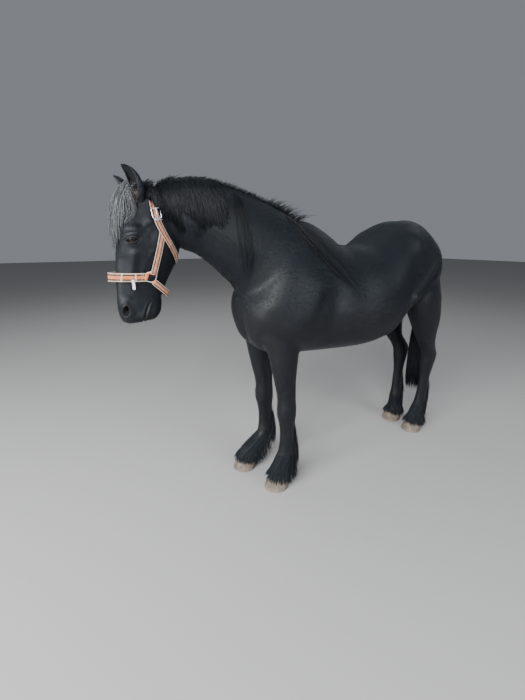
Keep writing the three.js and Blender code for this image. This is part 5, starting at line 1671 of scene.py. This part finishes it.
# The fall on the left behind the ears, which also covers the top of the crown strap
def makeLeftFall(random):
    steps, wave, count = maneSizes["steps"], maneSizes["wave"] * 0.7, maneSizes["leftCount"]
    rootX = -1292 + 332 * random.beta(1.1, 1.3, count)
    rootX = np.sort(np.where(random.random(count) < 0.17, random.uniform(*maneSizes["overEar"], count), rootX))
    lockOf = locksOf(random, rootX, maneSizes["leftSpan"], maneSizes["leftLocks"])
    lockLength = random.uniform(*maneSizes["leftLength"], maneSizes["leftLocks"] + 2)
    length = lockLength[np.clip(lockOf, 0, None)] * (0.4 + 0.72 * random.beta(1.5, 1.5, count))
    length = np.minimum(length, between(rootX, maneSizes["leftLongest"]) * random.uniform(0.66, 1.06, count))
    paths = gathered(overSide(random, rootX, length, steps, wave), lockOf, 0.42)
    widths = widthsOf(random, count, steps, 2.6, maneSizes["leftWidth"], (0.5, 1.2))
    return strandPiece(
        "maneLeft", paths, widths, 1.4, (0, left, 0.25), hairMaterial, random.beta(1.2, 2, count),
    )


# Strands that have come over to the left, down the neck and over the shoulder: the x and z of
# their way, how many there are, and how far they spread
strayGuides = [
    ([[-880, 1728], [-872, 1640], [-862, 1500], [-853, 1373], [-842, 1245]], 28, 18),
    ([[-592, 1625], [-535, 1545], [-468, 1440], [-388, 1335], [-290, 1232]], 24, 28),
    ([[-572, 1622], [-500, 1540], [-420, 1430], [-320, 1310], [-208, 1168]], 16, 26),
]


def makeStrays(random):
    steps = maneSizes["steps"]
    s = np.linspace(0, 1, steps)
    paths = []
    for spots, number, spread in strayGuides:
        at = np.linspace(0, len(spots) - 1, steps)
        lineX, lineZ = (np.interp(at, range(len(spots)), column) for column in np.array(spots, float).T)
        locks = random.normal(0, spread * 0.75, 6)
        offset = locks[random.integers(0, 6, number)] + random.normal(0, 2.6, number)
        start = random.uniform(0, 0.12, number)
        end = random.uniform(0.72, 1.04, number)
        for i in range(number):
            own = start[i] + (end[i] - start[i]) * s
            x = np.interp(own, s, lineX) + offset[i] * (0.5 + np.sin(s * math.pi)) + 5 * np.sin(s * 9 + i)
            z = np.interp(own, s, lineZ) + random.uniform(-6, 6)
            y = sideRelief[left].at(x, z)
            y = np.where(np.isnan(y), -6, y) - random.uniform(2, 9)
            y[0] += 12
            paths.append(np.stack([x, y, z], 1))
    count = len(paths)
    widths = widthsOf(random, count, steps, 1.2, 1.7, (0.6, 1.2))
    return strandPiece(
        "maneStrands", np.array(paths), widths, 1.2, (0, left, 0.25), hairMaterial, random.uniform(0, 0.3, count),
    )


# Short hair standing along the crest, thicker at the poll and at the withers: from and to along
# it, how many, and how tall
crestSpans = [(-1296, -1180, 420, (22, 44)), (-1190, -570, 1900, (8, 26)), (-670, -470, 340, (16, 50))]


def makeCrest(random):
    rootX = np.concatenate([random.uniform(low, high, number) for low, high, number, _ in crestSpans])
    tall = np.concatenate([random.uniform(*size, number) for _, _, number, size in crestSpans])
    steps = 6
    s = np.linspace(0, 1, steps)[None]
    rootY = random.normal(0, 11, len(rootX))
    top = topRelief.at(rootX, rootY)
    lean = random.normal(0, 0.45, len(rootX)) + rootY / 40
    back = random.uniform(0.1, 0.9, len(rootX)) + 0.4 * smoothstep(rootX, -690, -520)
    bend = (s + 0.5 * s**2)[0]
    x = rootX[:, None] + (tall * back)[:, None] * bend
    y = rootY[:, None] + (tall * lean)[:, None] * bend
    z = (top - 5)[:, None] + tall[:, None] * np.sin(s * 1.25) - 0.2 * (tall * np.abs(lean))[:, None] * s**2
    paths = np.stack([x, y, z], -1)
    widths = widthsOf(random, len(paths), steps, 2, 2.4, (0.5, 1.1))
    out = np.zeros_like(paths) + (0.2, left, 0.2)
    # and short hair behind the left ear that hides the front edge of the crown strap
    low, _, rays = crownLoop
    edge = sorted((i for i in range(len(low)) if low[i][1] < 4 and low[i][2] > 1630), key=lambda i: -low[i][2])
    arc = np.linspace(0, 1, len(edge))
    number = maneSizes["edgeCount"]
    start, end = random.uniform(0, 0.3, (number, 1)), random.uniform(0.55, 1.02, (number, 1))
    own = start + (end - start) * s
    aside = random.uniform(-5, 9, (number, 1)) + random.uniform(-3, 5, (number, 1)) * s
    proud = halter["stand"] + halter["thickness"] + random.uniform(0.8, 5, (number, 1)) * (1 - 0.4 * s)
    line, away = (np.stack([np.interp(own, arc, each[edge, k]) for k in range(3)], -1) for each in (low, rays))
    cover = line + away * proud[..., None]
    cover[..., 0] += aside
    paths = np.concatenate([paths, cover])
    widths = np.concatenate([widths, widthsOf(random, number, steps, 2.4, 2.8, (0.6, 1.1))])
    shade = random.uniform(0, 0.7, len(paths))
    return strandPiece("maneCrest", paths, widths, 1, np.concatenate([out, away]), hairMaterial, shade)


def makeMane():
    random = np.random.default_rng(3)
    return [make(random) for make in (makeMainMane, makeLeftFall, makeStrays, makeCrest)]


# Where its locks end across the face, the face's front under it by height, and how far it stands
# off that
forelockSizes = {
    "count": 1350, "locks": 58, "steps": 12, "width": 2, "rootY": 30, "footY": (-8, 84), "crown": 1694,
    "foot": {-1: 1520, -0.7: 1452, -0.3: 1405, 0.1: 1395, 0.5: 1420, 1: 1500},
    "front": {1400: -1372, 1550: -1350, 1640: -1334, 1694: -1320},
    "stand": {1433: 7, 1467: 22, 1549: 36, 1649: 50, 1689: 58},
}


def makeForelock():
    random = np.random.default_rng(7)
    count, steps, crown = (forelockSizes[key] for key in ("count", "steps", "crown"))
    middleY, acrossY = forelockSizes["footY"]
    s = np.linspace(0, 1, steps)[None]
    lane = np.clip(random.normal(0, 0.52, count), -1, 1)
    lockOf = ((lane + 1) / 2 * forelockSizes["locks"]).astype(int)
    rootY = lane * forelockSizes["rootY"]
    footY = middleY + lane * acrossY + random.normal(0, 5, count)
    foot = between(lane, forelockSizes["foot"]) + random.beta(1, 1.3, count) * 210
    layer = random.beta(1.2, 1.4, count)
    fall = np.clip((s - 0.2) / 0.8, 0, 1)
    z = crown - (crown - foot)[:, None] * fall
    spread = np.clip(s / 0.75, 0, 1) ** 0.8
    y = rootY[:, None] * (1 - spread) + footY[:, None] * spread
    face = faceRelief.at(np.clip(y, -112, 112), np.clip(z, 1130, 1690))
    face = np.where(np.isnan(face), -1345, np.minimum(face, between(z, forelockSizes["front"])))
    stand = between(z, forelockSizes["stand"]) * (1 - 0.5 * np.clip(np.abs(y - 12) / 100, 0, 1))
    x = face - 4 - stand * layer[:, None]
    rise = np.clip(s / 0.2, 0, 1)
    rootX = (-1318 + random.uniform(-26, 20, count))[:, None]
    rootZ = (1706 + random.uniform(-10, 6, count))[:, None]
    bulge = (1712 + 12 * layer)[:, None] - 1700
    x = np.where(s < 0.2, rootX + (x - rootX) * rise, x)
    z = np.where(s < 0.2, rootZ + (crown - rootZ) * rise + bulge * np.sin(rise * math.pi), z)
    phase = random.uniform(0, 6, (count, 1))
    x += 3 * np.sin(phase + 9 * s) * s
    y += 7 * np.sin(phase + 5 * s) * s
    paths = gathered(np.stack([x, y, z], -1), lockOf, 0.48)
    widths = widthsOf(random, count, steps, 2.2, forelockSizes["width"], (0.5, 1.2))
    # Strands are lighter towards the middle of the forelock; their grey is partly sun-bleached hair and partly painted
    # sheen
    shade = 0.62 + 0.2 * np.sin(lockOf * 2.4) + random.normal(0, 0.3, count) - 0.3 * np.abs(lane - 0.1)
    return strandPiece("forelock", paths, widths, 1.2, (-1, 0, 0.3), forelockMaterial, np.clip(shade, 0, 1))


# By height: the dock's middle and radius, and the middle and half width of the hair
tailSizes = {
    "count": 2400, "steps": 12, "width": 6.5, "foot": 246, "roots": (1430, 360),
    "dockX": {1070: 762, 1200: 758, 1320: 748, 1430: 705}, "dockRadius": {1070: 12, 1200: 24, 1320: 32, 1430: 34},
    "middleX": {230: 742, 600: 758, 900: 772, 1100: 778, 1300: 774, 1440: 716},
    "bulk": {230: 46, 330: 62, 560: 78, 820: 76, 1040: 62, 1300: 46, 1440: 34},
}


def makeTail():
    random = np.random.default_rng(13)
    count, steps = tailSizes["count"], tailSizes["steps"]
    s = np.linspace(0, 1, steps)[None]
    # Roots all along the dock
    down = random.beta(1.1, 1.6, count)
    angle = random.uniform(-math.pi, math.pi, count)
    c, n = np.cos(angle), np.sin(angle)
    lockOf = (angle / math.pi * 9 + 9).astype(int) * 3 + (down * 3).astype(int)
    highest, dockLength = tailSizes["roots"]
    rootZ = highest - dockLength * down
    dockX, radius = (between(rootZ, tailSizes[key]) for key in ("dockX", "dockRadius"))
    foot = tailSizes["foot"] + 250 * random.beta(1, 2.3, count) + 420 * (1 - down) * random.beta(1, 5, count)
    z = rootZ[:, None] - (rootZ - foot)[:, None] * s**1.05
    middleX, bulk = (between(z, tailSizes[key]) for key in ("middleX", "bulk"))
    layer = random.uniform(0.25, 1, count) ** 0.5
    leave = smoothstep(s, 0, 0.3)
    x = (dockX + radius * c)[:, None] * (1 - leave) + (middleX + bulk * 0.8 * (layer * c)[:, None]) * leave
    y = (radius * n)[:, None] * (1 - leave) + (bulk * (layer * n)[:, None]) * leave
    phase = random.uniform(0, 6, (count, 2))
    x += 7 * np.sin(phase[:, :1] + z / 70) * s
    y += 7 * np.sin(phase[:, 1:] + z / 85) * s
    paths = gathered(np.stack([x, y, z], -1), lockOf, 0.5)
    widths = widthsOf(random, count, steps, 3, tailSizes["width"], (0.55, 1.2))
    out = unit(paths - np.stack([middleX, 0 * y, z], -1) + (0.01, 0, 0))
    return strandPiece("tailHair", paths, widths, 1.8, out, hairMaterial)


featherSizes = {
    "count": 1500, "locks": 34, "steps": 8, "width": 4.2, "length": (100, 185), "flare": (14, 52), "lowest": 92,
    "overHoof": {0: 16, 60: 12, 110: 0},
}

def makeFeather(name, leg):
    random = np.random.default_rng(21 + sorted(legs).index(name))
    count, steps = featherSizes["count"], featherSizes["steps"]
    s = np.linspace(0, 1, steps)[None]
    lane = random.uniform(-1, 1, count)
    angle = np.sign(lane) * np.abs(lane) ** 1.25 * math.pi  # 0 is straight behind
    forwards = (1 - np.cos(angle)) / 2
    top = 250 + 190 * (1 - smoothstep(np.abs(angle), 0.4, 1.3))
    rootZ = featherSizes["lowest"] + (top - featherSizes["lowest"]) * random.beta(1.1, 1.2, count)
    lockOf = ((lane + 1) / 2 * featherSizes["locks"]).astype(int) * 4 + (rootZ / 110).astype(int)
    length = random.uniform(*featherSizes["length"], count) * (1 - 0.45 * forwards)
    lowest = 20 + 46 * forwards**0.8 + random.uniform(-8, 16, count)
    foot = np.maximum(rootZ - length, lowest)
    z = rootZ[:, None] + (foot - rootZ)[:, None] * s
    rings = legRingsOf(leg)[::-1]
    heights = rings[:, :, 2].mean(1)
    at = lambda values, zs: np.interp(zs, heights, values)
    centreX, centreY = rings[:, :, 0].mean(1), rings[:, :, 1].mean(1)
    halfX, halfY = np.ptp(rings[:, :, 0], axis=1) / 2, np.ptp(rings[:, :, 1], axis=1) / 2
    # The hair behind hangs plumb, and that in front follows the pastern and hoof forwards
    led = np.clip(forwards * 1.7, 0.06, 1)[:, None]
    over = between(z, featherSizes["overHoof"])
    flare = random.uniform(*featherSizes["flare"], count) * (1 - 0.72 * forwards) * (1 if leg["fore"] else 0.85)
    out = -2 + flare[:, None] * (s**0.8) * (1 - 0.25 * s)
    rootX = at(centreX, rootZ)[:, None]
    turn = angle[:, None]
    reachX = np.maximum(at(halfX, z), at(halfX, rootZ)[:, None] * 0.96) + over
    reachY = np.maximum(at(halfY, z), at(halfY, rootZ)[:, None] * 0.96) + over
    x = rootX * (1 - led) + at(centreX, z) * led + (reachX + out) * np.cos(turn)
    y = at(centreY, z) + (reachY + out) * np.sin(turn) * leg["side"]
    phase = random.uniform(0, 6, (count, 2))
    x += 4 * np.sin(phase[:, :1] + z / 24) * s
    y += 4 * np.sin(phase[:, 1:] + z / 28) * s
    paths = gathered(np.stack([x, y, np.maximum(z, 4)], -1), lockOf, 0.5)
    widths = widthsOf(random, count, steps, 2.2, featherSizes["width"], (0.5, 1.2))
    outwards = np.stack([np.cos(turn) + 0 * s, leg["side"] * np.sin(turn) + 0 * s, 0.2 + 0 * s + 0 * turn], -1)
    return strandPiece("feather" + name[0].upper() + name[1:], paths, widths, 1.4, outwards, featherMaterial)


# Hair inside the ears, lashes, and the long feelers of the muzzle
def makeFaceHair():
    random = np.random.default_rng(17)
    steps = 6
    s = np.linspace(0, 1, steps)[:, None]
    paths, outs = [], []
    for side in (left, right):
        sides = earSizes["sides"]
        outer = earSections(side)[:, :sides]
        middle = outer.mean(1)
        for _ in range(180):
            row = random.uniform(0.3, 6.5)
            k = int(row)
            edge = outer[k, random.choice([0, 1, 2, sides - 3, sides - 2, sides - 1])]
            foot = edge + (outer[k + 1].mean(0) - middle[k]) * (row - k)
            up = unit(outer[k + 3].mean(0) - middle[k])
            reach = random.uniform(14, 34) * (1 - 0.035 * row)
            way = unit(middle[k] - edge) * random.uniform(-0.1, 0.9) + up * random.uniform(0.5, 1.1)
            way = unit(way + random.normal(0, 0.2, 3) + (-0.35, 0, 0))
            paths.append(foot + way * reach * s + np.array([-5, 0, 0]) * s**2)
            outs.append(np.tile([-1, side * 0.3, 0], (steps, 1)))
    widths = widthsOf(random, len(paths), steps, 1.1, 1.3, (0.6, 1.1))
    earHair = strandPiece("earHair", np.array(paths), widths, 0.7, np.array(outs), earMaterial)
    paths, outs = [], []
    for side in (left, right):
        points, (_, f, a, b) = lidFrames[side]
        for _ in range(70):
            k = int(random.uniform(0.06, 0.44) * eyeLook["around"])
            fan = (k / eyeLook["around"] - 0.25) * -2.4
            way = unit(f * 0.85 - b * 0.5 + a * fan + random.normal(0, 0.1, 3))
            paths.append(points[k, 3] + way * random.uniform(11, 19) * s - b * 3 * np.sin(s * 2.6))
            outs.append(np.tile(f, (steps, 1)))
        for _ in range(46):
            z = random.uniform(1085, 1215)
            y = side * random.uniform(8, 60)
            atX = lambda: random.uniform(-1400, -1290)
            x = float(faceRelief.at(np.array([y]), np.array([z]))[0]) if random.random() < 0.6 else atX()
            if x > -1380 or x != x:
                x = atX()
                y = float(sideRelief[side].at(np.array([x]), np.array([z]))[0])
            if y != y:
                continue
            way = unit(np.array([-0.5 if x < -1380 else 0.1, side * 0.7, -0.55]) + random.normal(0, 0.22, 3))
            reach = random.uniform(14, 42)
            paths.append(np.array([x, y, z]) - way * 3 + way * reach * s + np.array([0, 0, -6]) * s**2)
            outs.append(np.tile([-0.6, side * 0.6, 0.4], (steps, 1)))
    widths = np.tile(taper(steps, 0.75, 0.6), (len(paths), 1))
    return [earHair, strandPiece("lashesAndFeelers", np.array(paths), widths, 0.5, np.array(outs), hairMaterial)]


manePieces = makeMane() + makeFaceHair()
forelock = makeForelock()
tailHair = makeTail()
feathers = {name: makeFeather(name, leg) for name, leg in legs.items()}


fleshNodes = ["head", "neck", "torso", "ear_left", "ear_right"]
fleshNodes += [leg["node"] % part for leg in legs.values() for part in ("leg", "cannon")]
settle(skin, "coat", *fleshNodes)
for piece in coatPieces:
    settle(piece, "coat")
for piece in manePieces + [forelock] + list(feathers.values()):
    settle(piece, "long_hair")
settle(tailHair, "long_hair", "tail")
for side, word in ((left, "left"), (right, "right")):
    settle(eyes[side], "eye", "eye_" + word)
for name, leg in legs.items():
    settle(hooves[name], "horn", leg["node"] % "hoof")

# Floor, lights and backdrop. A lamp has its place, size, power and colour.
studio = {
    "floor": (0.3, 0.294, 0.285), "sky": (0.84, 0.9, 0.98), "skyStrength": 0.25, "aim": (0, 0, 0.9),
    "lamps": {
        "key": ((-4.4, -3.8, 4.0), 3.4, 760, (0.97, 0.98, 1)),
        "fill": ((1.3, -5.9, 2.9), 3.6, 330, (0.9, 0.95, 1)),
        "front": ((-5.0, -1.3, 2.3), 2.2, 480, (0.95, 0.98, 1)),
        "back": ((-1.2, 4.0, 6.2), 5, 110, (0.94, 0.97, 1)),
        "behind": ((5.2, 1.8, 5.6), 4, 30, (0.94, 0.97, 1)),
    },
}


def makeStudio():
    floor = objectFrom("floor", bpy.data.meshes.new("floor"), smooth=False)
    floor.data.from_pydata([(-30, -30, 0), (30, -30, 0), (30, 30, 0), (-30, 30, 0)], [], [(0, 1, 2, 3)])
    floor.data.materials.append(shaderOf("floor", studio["floor"], 0.9)[0])
    world = bpy.data.worlds.new("studio")
    world.use_nodes = True
    background = world.node_tree.nodes["Background"]
    background.inputs[0].default_value = (*studio["sky"], 1)
    background.inputs[1].default_value = studio["skyStrength"]
    bpy.context.scene.world = world
    for name, (place, size, power, colour) in studio["lamps"].items():
        data = bpy.data.lights.new(name, "AREA")
        data.size, data.energy, data.color = size, power, colour
        lamp = bpy.data.objects.new(name, data)
        lamp.location = place
        lamp.rotation_euler = (Vector(studio["aim"]) - Vector(place)).to_track_quat("-Z", "Y").to_euler()
        bpy.context.scene.collection.objects.link(lamp)


makeStudio()
